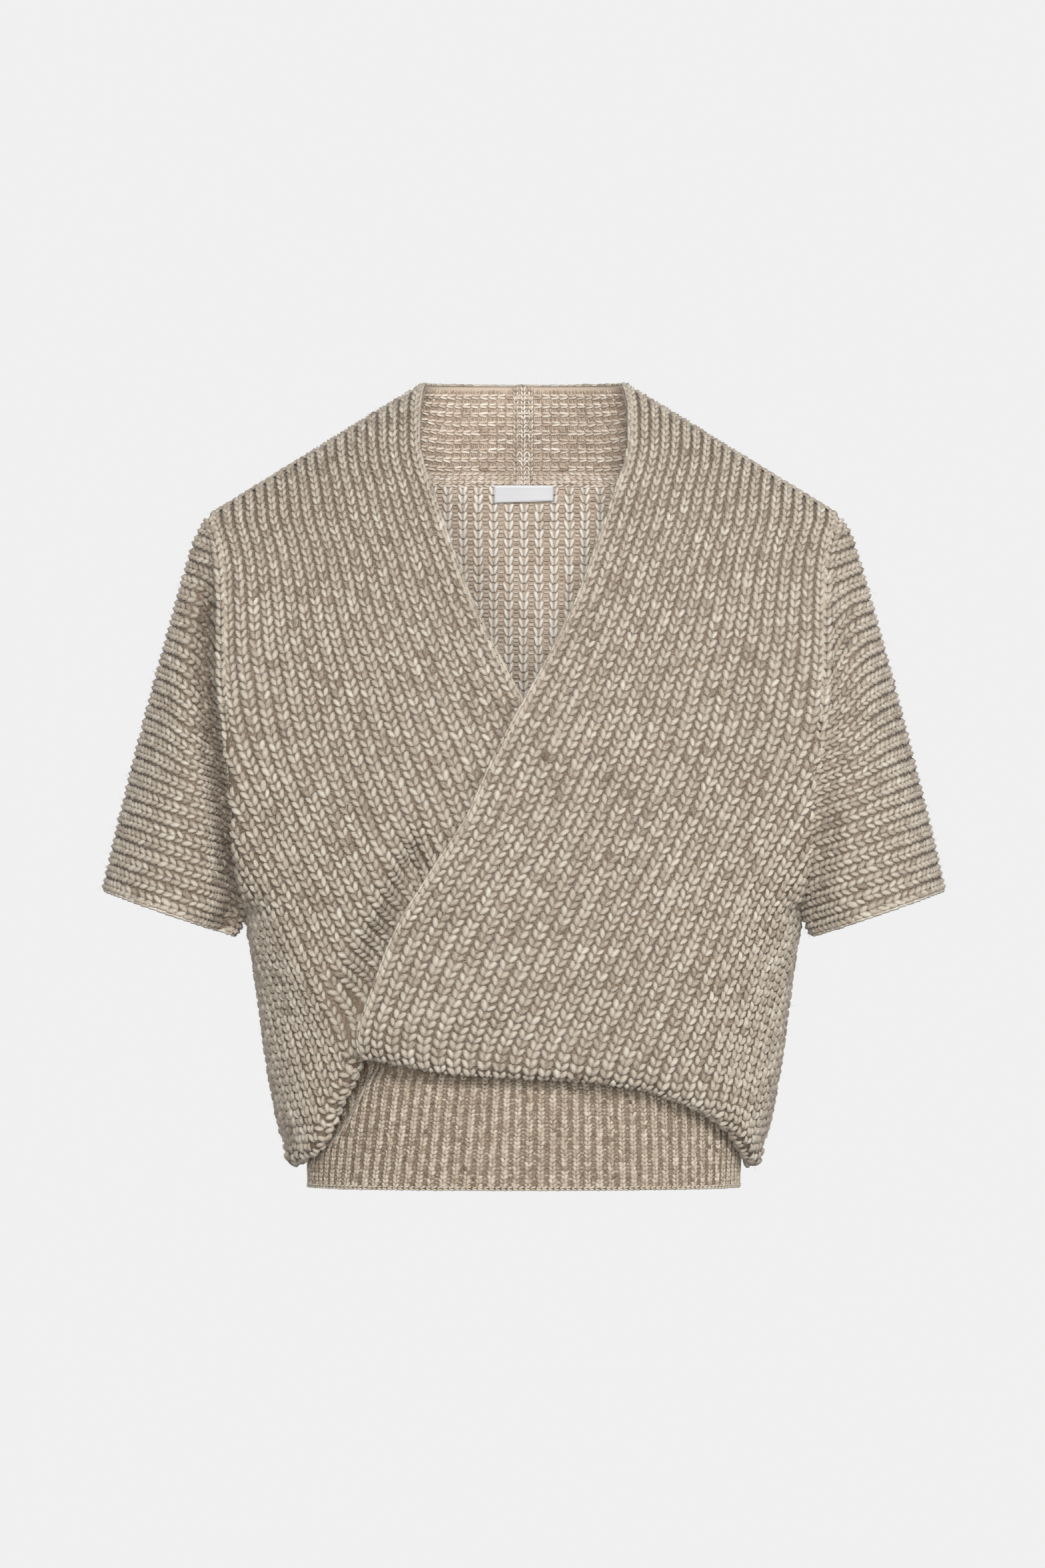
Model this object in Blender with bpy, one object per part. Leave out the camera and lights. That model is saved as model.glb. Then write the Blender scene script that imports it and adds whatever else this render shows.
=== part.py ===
"""Short-sleeved wrap sweater in chunky rib, as it stands on a wearer.

Metres, +Z up. The front faces -Y and the wearer's left is at +X. The origin
lies between the shoulders at the side of the neck, where a wearer carries it.
Every piece that a maker would knit and sew on is one object: the back, two
fronts that carry on round the back neck as half collars, two sleeves, the
waistband and a bare label.
"""
import bpy
import math

# Cloth
WALL = 0.003
RIB_RAISE = 0.0018
BAND_RIB_RAISE = 0.0012
HALF_GAP = 0.0002

# Ribs across each stretch of the body, two columns of points to a rib
SIDE_COLUMNS = 24
EDGE_COLUMNS = 68
NECK_COLUMN = 44
BACK_NECK_COLUMN = 36
COLUMNS_PER_INNER = 4
MAIN_COLUMNS = EDGE_COLUMNS - SIDE_COLUMNS

# Shoulder line, straight from the collar's corner down to the sleeve
CORNER_X = 0.0715
CORNER_Z = 0.031
TIP_X = 0.226
SHOULDER_FALL = 0.6136
TIP_Z = CORNER_Z - SHOULDER_FALL * (TIP_X - CORNER_X)
NECK_X = TIP_X - (TIP_X - CORNER_X) * (NECK_COLUMN - SIDE_COLUMNS) / MAIN_COLUMNS

# Collar and back neck
BACK_NECK_Z = -0.040
BACK_NECK_FLAT_X = 0.060
COLLAR_BACK_Y = 0.044
COLLAR_ROWS = 8
COLLAR_WAY_OUT = (0.0, 0.95, 0.31)
COLLAR_TURN_SHARE = 1.3

# Blouse fold and the lap over the waistband's top edge
BAND_TOP_Z = -0.430
BAND_HEM_Z = -0.548
LAP_Z = -0.431
LAP = 0.0005
LAP_LOWER = 0.0032
LAP_PLACE = 0.39
LAP_REACH = 0.08
FOLD_UP = 0.012
FOLD_INSIDE_UP = 0.010
FOLD_BOTTOM_UP = 0.001
FOLD_INNER_SHARE = 0.30
FOLD_OUTER_SHARE = 0.74
FOLD_SIDE_SHARE = 0.46
SIDE_WALL_Z = -0.42

# How far the over front stands off, and how far the under front draws back
OVER_SHIFT = 0.004
UNDER_SHIFT = 0.0034
UNDER_LAP = 0.0035
SHIFT_START = 0.035
SHIFT_REACH = 0.025
# place round the body of the front edges at the fold, from which their exact one is found
EDGE_PLACE = 1.5

# Body sections: how squarely they turn at the sides
SIDE_TURN = 2.4

# Waistband
BAND_RIBS = 100
BAND_FRONT_DEPTH = 0.100
BAND_BACK_DEPTH = 0.098
BAND_POWER = 2.3

# Sleeve
SLEEVE_PITCH = 0.0098
CUFF_OUTER = (-0.302, -0.334)
CUFF_INNER = (-0.2095, -0.366)
CUFF_HALF_DEPTH = 0.072
CUFF_POWER = 2.2

# Label
LABEL_HALF_WIDTH = 0.0215
LABEL_TOP_Z = -0.0425
LABEL_HEIGHT = 0.012
LABEL_WALL = 0.0008
LABEL_CLEAR = 0.0008

# height, half width of the body there
HALF_WIDTHS = (
    (-0.529, 0.1600),
    (-0.5256, 0.1650),
    (-0.5136, 0.1710),
    (-0.5016, 0.1753),
    (-0.4776, 0.1802),
    (-0.4536, 0.1843),
    (-0.4296, 0.1876),
    (-0.4056, 0.1910),
    (-0.3816, 0.1942),
    (-0.348, 0.1990),
    (-0.306, 0.2030),
    (-0.265, 0.2065),
    (-0.215, 0.2130),
    (-0.170, 0.2165),
    (-0.136, 0.2165),
    (-0.109, 0.2175),
    (-0.088, 0.2200),
    (TIP_Z, TIP_X),
    (CORNER_Z, TIP_X),
)
# height, share of the full depth that the armhole edge keeps
EDGE_SHARES = (
    (-0.600, 0.0),
    (-0.348, 0.0),
    (-0.338, 0.245),
    (-0.306, 0.476),
    (-0.265, 0.653),
    (-0.215, 0.804),
    (-0.170, 0.85),
    (-0.109, 0.87),
    (TIP_Z, 0.90),
    (CORNER_Z, 0.95),
)
# height, roundness of the section's sides
SIDE_POWERS = (
    (-0.600, 2.0),
    (-0.348, 2.0),
    (-0.306, 1.55),
    (-0.265, 1.2),
    (-0.215, 1.0),
    (CORNER_Z, 1.0),
)
# distance below the shoulder line, depth in front, depth behind
DEPTHS = (
    (0.0, 0.0, 0.0),
    (0.002, 0.0085, 0.0080),
    (0.006, 0.0150, 0.0140),
    (0.015, 0.0260, 0.0250),
    (0.030, 0.0390, 0.0370),
    (0.060, 0.0565, 0.0540),
    (0.100, 0.0730, 0.0700),
    (0.157, 0.0880, 0.0840),
    (0.246, 0.1040, 0.0980),
    (0.320, 0.1130, 0.1040),
    (0.400, 0.1190, 0.1060),
    (0.470, 0.1210, 0.1070),
    (0.600, 0.1210, 0.1070),
)
# height, how far out from the middle the front edge lies on its own side
FRONT_EDGES = (
    (-0.540, -0.121),
    (-0.452, -0.121),
    (-0.436, -0.119),
    (-0.415, -0.112),
    (-0.390, -0.103),
    (-0.361, -0.091),
    (-0.317, -0.064),
    (-0.283, -0.042),
    (-0.235, -0.020),
    (-0.200, -0.0015),
    (-0.184, 0.0085),
    (-0.163, 0.0195),
    (-0.129, 0.0360),
    (-0.097, 0.0480),
    (-0.069, 0.0580),
    (-0.040, 0.0675),
    (-0.028, 0.0720),
    (-0.010, 0.0750),
    (0.010, 0.0750),
    (CORNER_Z, CORNER_X),
)
# place round the body (0 side seam, 1 middle, 2 far side), height of the fold
OVER_FOLDS = (
    (0.0, -0.529),
    (0.12, -0.525),
    (0.27, -0.506),
    (0.40, -0.491),
    (0.50, -0.483),
    (0.63, -0.475),
    (0.86, -0.4685),
    (1.00, -0.467),
    (1.22, -0.464),
    (1.50, -0.453),
    (2.0, -0.453),
)
UNDER_FOLDS = (
    (0.0, -0.529),
    (0.15, -0.526),
    (0.26, -0.519),
    (0.33, -0.501),
    (0.38, -0.484),
    (0.43, -0.470),
    (0.46, -0.456),
    (0.485, -0.447),
    (0.52, -0.4465),
    (0.78, -0.457),
    (1.00, -0.460),
    (1.14, -0.462),
    (1.37, -0.469),
    (1.50, -0.477),
    (2.0, -0.480),
)
BACK_FOLDS = (
    (0.0, -0.529),
    (0.15, -0.525),
    (0.40, -0.513),
    (0.70, -0.504),
    (1.0, -0.500),
    (1.3, -0.504),
    (1.6, -0.513),
    (1.85, -0.525),
    (2.0, -0.529),
)
# armhole from the armpit up: row, column that ends there, height, reach of the side ribs
ARMHOLE_ROWS = (
    (6, 0, -0.348, 0.085),
    (7, 8, -0.338, 0.056),
    (8, 16, -0.306, 0.030),
    (9, 20, -0.265, 0.012),
    (10, 24, -0.215, 0.0),
)
# lower rows: row, share of the way from the fold to the armpit, reach of the side ribs
SIDE_ROWS = (
    (5, 0.5, 0.100),
)
# upper rows: row, share of the way from the armhole row to the shoulder line
UPPER_ROWS = (
    (11, 0.35),
    (12, 0.62),
    (13, 0.81),
    (14, 0.935),
    (15, 1.0),
)
TOP_ROW = 15
ARMPIT_ROW = 6
FULL_ROW = 10
# row of the fold, share of the rib's height it keeps
FOLD_RIBS = {0: 0.0, 1: 0.0, 2: 0.25, 3: 0.7}
# share of the sleeve from cuff to seam, how far it swells there
SLEEVE_SWELLS = (
    (0.0, 0.0),
    (0.2, 0.0025),
    (0.5, 0.0047),
    (0.8, 0.0052),
    (0.93, 0.0045),
    (1.0, 0.0),
)
# height, half width of the waistband, share of its rib's height
BAND_SECTIONS = (
    (BAND_HEM_Z, 0.1545, 0.8),
    (-0.475, 0.1575, 1.0),
    (BAND_TOP_Z, 0.1575, 0.0),
)
# piece, base colour
PIECE_COLOURS = {
    "back": (0.53, 0.47, 0.40),
    "front_right": (0.55, 0.49, 0.42),
    "front_left": (0.57, 0.51, 0.44),
    "sleeve_right": (0.54, 0.48, 0.41),
    "sleeve_left": (0.54, 0.48, 0.41),
    "waistband": (0.50, 0.44, 0.37),
    "label": (0.88, 0.88, 0.88),
}


def between(a, b, share):
    return tuple(p + (q - p) * share for p, q in zip(a, b))


def add(a, b, times=1.0):
    return tuple(p + q * times for p, q in zip(a, b))


def cross(a, b):
    return (
        a[1] * b[2] - a[2] * b[1],
        a[2] * b[0] - a[0] * b[2],
        a[0] * b[1] - a[1] * b[0],
    )


def unit(a):
    size = math.sqrt(sum(p * p for p in a))
    return tuple(p / size for p in a)


def smooth(share):
    share = min(max(share, 0.0), 1.0)
    return share * share * (3.0 - 2.0 * share)


def read(rows, at, column=1):
    """The table's value at a place, on a curve that never overshoots its rows."""
    if at <= rows[0][0]:
        return rows[0][column]
    if at >= rows[-1][0]:
        return rows[-1][column]
    last = next(i for i in range(1, len(rows)) if at <= rows[i][0])
    slopes = []
    for i in (last - 1, last):
        before = max(i - 1, 0)
        after = min(i + 1, len(rows) - 1)
        left = rise(rows, before, i, column)
        right = rise(rows, i, after, column)
        same_way = left * right > 0.0
        slopes.append(2.0 * left * right / (left + right) if same_way else 0.0)
    x0, x1 = rows[last - 1][0], rows[last][0]
    y0, y1 = rows[last - 1][column], rows[last][column]
    step = x1 - x0
    s = (at - x0) / step
    return (
        (1.0 + 2.0 * s) * (1.0 - s) ** 2 * y0
        + s * (1.0 - s) ** 2 * step * slopes[0]
        + s * s * (3.0 - 2.0 * s) * y1
        + s * s * (s - 1.0) * step * slopes[1]
    )


def rise(rows, i, k, column):
    if i == k:
        i, k = (i - 1, k) if k == len(rows) - 1 else (i, k + 1)
    return (rows[k][column] - rows[i][column]) / (rows[k][0] - rows[i][0])


def shoulder_height(x):
    """Height of the shoulder line, carried on in a flat arch across the neck."""
    x = abs(x)
    if x >= CORNER_X:
        return CORNER_Z - SHOULDER_FALL * (x - CORNER_X)
    return CORNER_Z + SHOULDER_FALL * (CORNER_X ** 2 - x * x) / (2.0 * CORNER_X)


def back_neck_height(x):
    rise_share = smooth((abs(x) - BACK_NECK_FLAT_X) / (NECK_X - BACK_NECK_FLAT_X))
    return BACK_NECK_Z + (shoulder_height(NECK_X) - BACK_NECK_Z) * rise_share


def depth(x, z, face):
    """How far the body's outer face stands from the shoulder plane; face is -1 or 1."""
    full = read(DEPTHS, shoulder_height(x) - z, 1 if face < 0 else 2)
    share = min(abs(x) / read(HALF_WIDTHS, z), 1.0)
    edge = read(EDGE_SHARES, z)
    round_part = (1.0 - share ** SIDE_TURN) ** (1.0 / read(SIDE_POWERS, z))
    return face * full * (edge + (1.0 - edge) * round_part)


class Section:
    """One level curve across the body, read by length from its left end."""

    STEPS = 80

    def __init__(self, half_width, depth_at):
        self.points = []
        self.lengths = [0.0]
        for i in range(self.STEPS + 1):
            x = -half_width * math.cos(math.pi * i / self.STEPS)
            self.points.append((x, depth_at(x)))
        for a, b in zip(self.points, self.points[1:]):
            self.lengths.append(self.lengths[-1] + math.dist(a, b))
        self.half = self.lengths[-1] / 2.0

    def at(self, length):
        length = min(max(length, 0.0), self.lengths[-1])
        i = next(k for k in range(1, len(self.lengths)) if length <= self.lengths[k] + 1e-12)
        span = self.lengths[i] - self.lengths[i - 1]
        return between(self.points[i - 1], self.points[i], (length - self.lengths[i - 1]) / span)

    def length_at(self, x):
        for i in range(1, len(self.points)):
            if x <= self.points[i][0]:
                a, b = self.points[i - 1][0], self.points[i][0]
                share = (x - a) / (b - a)
                return self.lengths[i - 1] + (self.lengths[i] - self.lengths[i - 1]) * share
        return self.lengths[-1]


def body_section(z, face):
    key = (round(z, 5), face)
    if key not in body_section.kept:
        body_section.kept[key] = Section(read(HALF_WIDTHS, z), lambda x: depth(x, z, face))
    return body_section.kept[key]


body_section.kept = {}


def band_section(z, face, out=0.0):
    key = (round(z, 5), face, round(out, 5))
    if key not in band_section.kept:
        half_width = read(BAND_SECTIONS, z) + out
        full = (BAND_FRONT_DEPTH if face < 0 else BAND_BACK_DEPTH) + out

        def depth_at(x):
            share = min(abs(x) / half_width, 1.0)
            return face * full * math.sqrt(1.0 - share ** BAND_POWER)

        band_section.kept[key] = Section(half_width, depth_at)
    return band_section.kept[key]


band_section.kept = {}


def armhole_point(z, face):
    x = -read(HALF_WIDTHS, z)
    return (x, depth(x, z, face), z)


def armhole_rows(face):
    """Corner points of the left armhole from the armpit to the shoulder tip."""
    heights = [row[2] for row in ARMHOLE_ROWS]
    heights += [heights[-1] + (TIP_Z - heights[-1]) * share for _, share in UPPER_ROWS]
    points = [armhole_point(z, face) for z in heights]
    points[-1] = (-TIP_X, 0.0, TIP_Z)
    return points


RIDGE_IN = unit((SHOULDER_FALL, 0.0, -1.0))
TIP_LEAN = SHOULDER_FALL
ARMHOLE_LEAN = 0.35
# row of the armhole from the armpit, how far its mitre runs past the wall
ARMHOLE_MITRES = {0: 2.2, 1: 1.5, 2: 1.15}


def armhole_frames(face):
    """For each armhole point: the point, the way through the wall, the way to the sleeve."""
    points = armhole_rows(face)
    frames = []
    for i, point in enumerate(points):
        before = points[max(i - 1, 0)]
        after = points[min(i + 1, len(points) - 1)]
        along = unit((0.0, after[1] - before[1], after[2] - before[2]))
        out = (along[2] * face, -along[1] * face)
        if i == 0:
            out = (0.0, -1.0)
        lean = ARMHOLE_LEAN
        if i == len(points) - 1:
            out = (0.0, 1.0)
            lean = TIP_LEAN
        through = unit((lean, -out[0], -out[1]))
        side = (0.0, face * 1.0, 0.0) if i in (0, len(points) - 1) else along
        away = unit(cross(through, side))
        if away[0] > 0.0:
            away = tuple(-p for p in away)
        through = tuple(p * WALL * ARMHOLE_MITRES.get(i, 1.0) for p in through)
        frames.append((point, through, away))
    return frames


def frame_at(frames, key):
    """Point, way through and way out at a place between two armhole rows."""
    i = min(int(key - ARMPIT_ROW), len(frames) - 2)
    share = key - ARMPIT_ROW - i
    return tuple(between(a, b, share) for a, b in zip(frames[i], frames[i + 1]))


def end_key(column):
    """Row at which a side column runs out at the armhole."""
    for low, high in zip(ARMHOLE_ROWS, ARMHOLE_ROWS[1:]):
        if column <= high[1]:
            return low[0] + (column - low[1]) / (high[1] - low[1])
    return FULL_ROW


class Column:
    """One rib line: its points by row, and the rows it shares with each neighbour."""

    def __init__(self):
        self.points = {}
        self.through = {}
        self.relief = 0.0
        self.flat = set()
        self.left_top = None
        self.right_top = None
        self.has_inner = False
        self.inner_keys = None

    def keys(self, top=None):
        rows = sorted(self.points)
        if top is None:
            return rows
        return [key for key in rows if key <= top + 1e-9]

    def near(self, key):
        if key in self.points:
            return self.points[key]
        top = max(self.points)
        if key > top:
            return self.points[top]
        below = max(row for row in self.points if row < key)
        above = min(row for row in self.points if row > key)
        return between(self.points[below], self.points[above], (key - below) / (above - below))


def strip(left, right, left_keys, right_keys):
    """Faces between two columns, quads where rows match and triangles where they don't."""
    faces = []
    i = k = 0
    while i < len(left_keys) - 1 or k < len(right_keys) - 1:
        a = left_keys[i + 1] if i < len(left_keys) - 1 else math.inf
        b = right_keys[k + 1] if k < len(right_keys) - 1 else math.inf
        here = ((left, left_keys[i]), (right, right_keys[k]))
        if abs(a - b) < 1e-9:
            faces.append(here + ((right, b), (left, a)))
            i += 1
            k += 1
        elif b < a:
            faces.append(here + ((right, b),))
            k += 1
        else:
            faces.append(here + ((left, a),))
            i += 1
    return faces


def surface_faces(columns, used, closed, key_filter):
    faces = []
    pairs = list(zip(used, used[1:]))
    if closed:
        pairs.append((used[-1], used[0]))
    for a, b in pairs:
        left_keys = key_filter(columns[a], columns[a].right_top)
        right_keys = key_filter(columns[b], columns[b].left_top)
        faces += strip(a, b, left_keys, right_keys)
    return faces


def normals(columns, closed, turn):
    """Outward direction at each point, from its neighbours along and across."""
    out = {}
    count = len(columns)
    for j, column in enumerate(columns):
        left = columns[j - 1] if j > 0 or closed else column
        right = columns[(j + 1) % count] if j < count - 1 or closed else column
        rows = column.keys()
        for i, key in enumerate(rows):
            up = add(
                column.points[rows[min(i + 1, len(rows) - 1)]],
                column.points[rows[max(i - 1, 0)]],
                -1.0,
            )
            a = left.near(key) if key <= max(left.points) else column.points[key]
            b = right.near(key) if key <= max(right.points) else column.points[key]
            if a == b:
                a, b = left.near(key), right.near(key)
            across = add(b, a, -1.0)
            way = unit(cross(across, up))
            out[(j, key)] = tuple(p * turn for p in way)
    return out


def shell(columns, closed=False, turn=1.0, wall=WALL, raise_by=RIB_RAISE):
    """Closed wall: ribbed outer face, plain inner face on fewer columns, joined rims."""
    way_out = normals(columns, closed, turn)
    points = []
    outer = {}
    inner = {}
    for j, column in enumerate(columns):
        for key, point in column.points.items():
            way = way_out[(j, key)]
            lift = 0.0 if key in column.flat else column.relief * FOLD_RIBS.get(key, 1.0)
            outer[(j, key)] = len(points)
            points.append(add(point, way, lift * raise_by))
            if column.has_inner and (column.inner_keys is None or key in column.inner_keys):
                through = column.through.get(key, tuple(-p * wall for p in way))
                inner[(j, key)] = len(points)
                points.append(add(point, through))

    def all_keys(column, top):
        return column.keys(top)

    def inner_only(column, top):
        keep = column.inner_keys
        return [key for key in column.keys(top) if keep is None or key in keep]

    outer_faces = surface_faces(columns, range(len(columns)), closed, all_keys)
    backed = [j for j, column in enumerate(columns) if column.has_inner]
    inner_faces = surface_faces(columns, backed, closed, inner_only)
    faces = []
    for face in outer_faces:
        loop = [outer[corner] for corner in face]
        faces.append(loop if turn > 0 else loop[::-1])
    after = open_edges(outer_faces)
    for face in inner_faces:
        loop = [inner[corner] for corner in face]
        faces.append(loop[::-1] if turn > 0 else loop)
    for loop in rims(after, inner):
        rim = []
        for kind, corner in loop:
            rim.append(outer[corner] if kind == "outer" else inner[corner])
        faces.append(rim if turn > 0 else rim[::-1])
    return points, faces


def open_edges(faces):
    """Next corner along the border for each corner that has an edge with one face."""
    edges = set()
    for face in faces:
        for a, b in zip(face, face[1:] + face[:1]):
            edges.add((a, b))
    return {a: b for a, b in edges if (b, a) not in edges}


def rims(after, inner):
    """Rim faces that close the wall between its outer and inner borders."""
    faces = []
    for start in sorted(corner for corner in after if corner in inner):
        chain = [start, after[start]]
        while chain[-1] not in inner:
            chain.append(after[chain[-1]])
        middle = (len(chain) + 1) // 2
        first, last = ("inner", chain[0]), ("inner", chain[-1])
        for i in range(middle - 1):
            faces.append((("outer", chain[i + 1]), ("outer", chain[i]), first))
        faces.append((("outer", chain[middle - 1]), first, last))
        for i in range(middle - 1, len(chain) - 1):
            faces.append((("outer", chain[i + 1]), ("outer", chain[i]), last))
    return faces


def mirrored(points, faces):
    return [(-x, y, z) for x, y, z in points], [face[::-1] for face in faces]


class BodyPanel:
    """A front (face -1) on the left, or the back (face 1), from its folds and shifts."""

    def __init__(self, face, folds, over=0.0, under=0.0, lap_more=0.0):
        self.face = face
        self.folds = folds
        self.over = over
        self.under = under
        self.lap_more = lap_more
        self.frames = armhole_frames(face)

    def fold_height(self, place):
        return read(self.folds, place)

    def shift(self, x, z):
        """Outward shift where the other front lies under or over this one."""
        edge = read(FRONT_EDGES, z)
        if self.over:
            return self.over * smooth((x - edge + SHIFT_START) / SHIFT_REACH)
        if self.under:
            return -self.under * smooth((x - edge + SHIFT_START) / SHIFT_REACH)
        return 0.0

    def wall_point(self, place, z):
        section = body_section(z, self.face)
        x, y = section.at(place * section.half)
        return (x, y + self.face * self.shift(x, z), z)

    def lap(self, place):
        return LAP + self.lap_more * smooth((place - LAP_PLACE) / LAP_REACH)

    def band_point(self, place, z, out):
        section = band_section(z, self.face, out)
        x, y = section.at(place * section.half)
        return (x, y, z)

    def low_point(self, row, place):
        """Points of the lap, the fold and the wall below the armpit."""
        fold = self.fold_height(place)
        wall_z = fold + FOLD_UP
        if row == 0:
            return self.band_point(place, LAP_Z, self.lap(place))
        inside = self.band_point(place, fold + FOLD_INSIDE_UP, self.lap(place) + LAP_LOWER)
        if row == 1:
            return inside
        outside = self.wall_point(place, wall_z)
        if row in (2, 3):
            share = FOLD_INNER_SHARE if row == 2 else FOLD_OUTER_SHARE
            x, y, _ = between(inside, outside, share)
            return (x, y, fold + FOLD_BOTTOM_UP)
        if row == 4:
            return outside
        share = next(item[1] for item in SIDE_ROWS if item[0] == row)
        return self.wall_point(place, wall_z + (ARMHOLE_ROWS[0][2] - wall_z) * share)

    def low_places(self, row):
        """Places of the last side column and of the front edge on a low row."""
        reach = {item[0]: item[2] for item in SIDE_ROWS}
        edge_place = EDGE_PLACE
        for _ in range(4):
            z = self.low_point(max(row, 4), edge_place)[2]
            section = body_section(z, self.face)
            edge_place = section.length_at(-read(FRONT_EDGES, z)) / section.half
        side_place = FOLD_SIDE_SHARE
        if row in reach:
            side_place = reach[row] / section.half
        return side_place, edge_place

    def side_column_place(self, j, row):
        """Length from the armhole edge of column j on one of the armhole's rows."""
        _, ended, _, reach = ARMHOLE_ROWS[row - ARMPIT_ROW]
        return reach * (j - ended) / (SIDE_COLUMNS - ended)

    def seam_end(self, column, key):
        point, through, away = frame_at(self.frames, key)
        nudge = (0.0, self.face * HALF_GAP, 0.0) if key == ARMPIT_ROW else (0.0, 0.0, 0.0)
        column.points[key] = add(add(point, away, -HALF_GAP), nudge)
        column.through[key] = through
        column.flat.add(key)

    def start_column(self, j):
        column = Column()
        column.relief = float(j % 2)
        column.has_inner = j % COLUMNS_PER_INNER == 0
        return column

    def side_seam(self, column):
        """Set the side seam's points half a gap off, with level ways through the wall."""
        rows = [key for key in column.keys() if key < ARMPIT_ROW]
        for key in rows:
            x, y, z = column.points[key]
            column.points[key] = (x, self.face * HALF_GAP, z)
        for key in rows:
            before = column.points[max(key - 1, 0)]
            after = column.points[key + 1]
            along = unit((after[0] - before[0], 0.0, after[2] - before[2]))
            column.through[key] = (along[2] * WALL, 0.0, -along[0] * WALL)


class Front(BodyPanel):
    """A front and its half of the collar, in one piece."""

    def __init__(self, **options):
        super().__init__(-1.0, **options)

    def column(self, j):
        column = self.start_column(j)
        share = max(j - SIDE_COLUMNS, 0) / MAIN_COLUMNS
        for row in range(ARMPIT_ROW):
            side_place, edge_place = self.low_places(row)
            place = side_place * j / SIDE_COLUMNS
            if j > SIDE_COLUMNS:
                place = side_place + (edge_place - side_place) * share
            column.points[row] = self.low_point(row, place)
        top = end_key(j) if j <= SIDE_COLUMNS else TOP_ROW
        for row, ended, z, reach in ARMHOLE_ROWS:
            if row >= top and j <= SIDE_COLUMNS:
                break
            section = body_section(z, self.face)
            length = self.side_column_place(j, row) if j <= SIDE_COLUMNS else None
            if length is None:
                edge = section.length_at(-read(FRONT_EDGES, z))
                length = reach + (edge - reach) * share
            x, y = section.at(length)
            column.points[row] = (x, y - self.shift(x, z), z)
            if j < SIDE_COLUMNS:
                column.flat.add(row)
        if j <= SIDE_COLUMNS:
            self.seam_end(column, top)
        if j >= SIDE_COLUMNS:
            self.upper_rows(column, j, share)
        if j >= NECK_COLUMN:
            self.collar_rows(column, j)
        if j == 0:
            self.side_seam(column)
        return column

    def upper_rows(self, column, j, share):
        top_x = -TIP_X + (TIP_X - CORNER_X) * share
        top_z = shoulder_height(top_x)
        low_z = ARMHOLE_ROWS[-1][2]
        for row, up in UPPER_ROWS:
            z = low_z + (top_z - low_z) * up
            if j == SIDE_COLUMNS:
                self.seam_end(column, row)
                continue
            edge_x = -read(HALF_WIDTHS, z)
            x = edge_x + (-read(FRONT_EDGES, z) - edge_x) * share
            column.points[row] = (x, depth(x, z, self.face) - self.shift(x, z), z)
        column.points[TOP_ROW] = (top_x, 0.0, top_z)
        if j == SIDE_COLUMNS:
            point, _, away = self.frames[-1]
            column.points[TOP_ROW] = add(point, away, -HALF_GAP)
            column.left_top = FULL_ROW
        if j <= NECK_COLUMN:
            x, y, z = column.points[TOP_ROW]
            column.points[TOP_ROW] = (x, -HALF_GAP, z)
            column.through[TOP_ROW] = tuple(p * WALL for p in RIDGE_IN)
            column.flat.add(TOP_ROW)

    def collar_rows(self, column, j):
        share = (j - NECK_COLUMN) / (EDGE_COLUMNS - NECK_COLUMN)
        if j == NECK_COLUMN:
            column.points[TOP_ROW] = add(column.points[TOP_ROW], neck_frame(0)[2], HALF_GAP)
            column.left_top = TOP_ROW
        for i in range(1, COLLAR_ROWS + 1):
            seam, through, up = neck_frame(i)
            turn = math.pi / 2.0 * i / COLLAR_ROWS
            edge = (-CORNER_X * math.cos(turn), COLLAR_BACK_Y * math.sin(turn), CORNER_Z)
            point = between(seam, edge, share)
            key = TOP_ROW + i
            if j == NECK_COLUMN:
                point = add(seam, up, HALF_GAP)
                column.through[key] = through
                column.flat.add(key)
            if i == COLLAR_ROWS:
                point = (-HALF_GAP, point[1], point[2])
                column.flat.add(key)
                along = unit(add(edge, seam, -1.0))
                column.through[key] = (0.0, -along[2] * WALL, along[1] * WALL)
            column.points[key] = point

    def build(self):
        columns = [self.column(j) for j in range(EDGE_COLUMNS + 1)]
        return shell(columns)


def neck_frame(i):
    """Back neck seam: its point, the way through the wall, the way up to the collar."""
    x = -NECK_X * (1.0 - i / COLLAR_ROWS)
    z = back_neck_height(x)
    point = (x, depth(x, z, 1.0), z)
    share = smooth(i / COLLAR_ROWS * COLLAR_TURN_SHARE)
    ridge_out = tuple(-p for p in RIDGE_IN)
    way_out = unit(between(ridge_out, COLLAR_WAY_OUT, share))
    step = 0.5
    a = seam_place(i - step)
    b = seam_place(i + step)
    along = unit(add(b, a, -1.0))
    up = unit(cross(way_out, along))
    if up[2] < 0.0:
        up = tuple(-p for p in up)
    return point, tuple(-p * WALL for p in way_out), up


def seam_place(i):
    i = min(max(i, 0.0), 2.0 * COLLAR_ROWS)
    x = -NECK_X * (1.0 - i / COLLAR_ROWS)
    z = back_neck_height(x)
    return (x, depth(x, z, 1.0), z)


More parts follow.
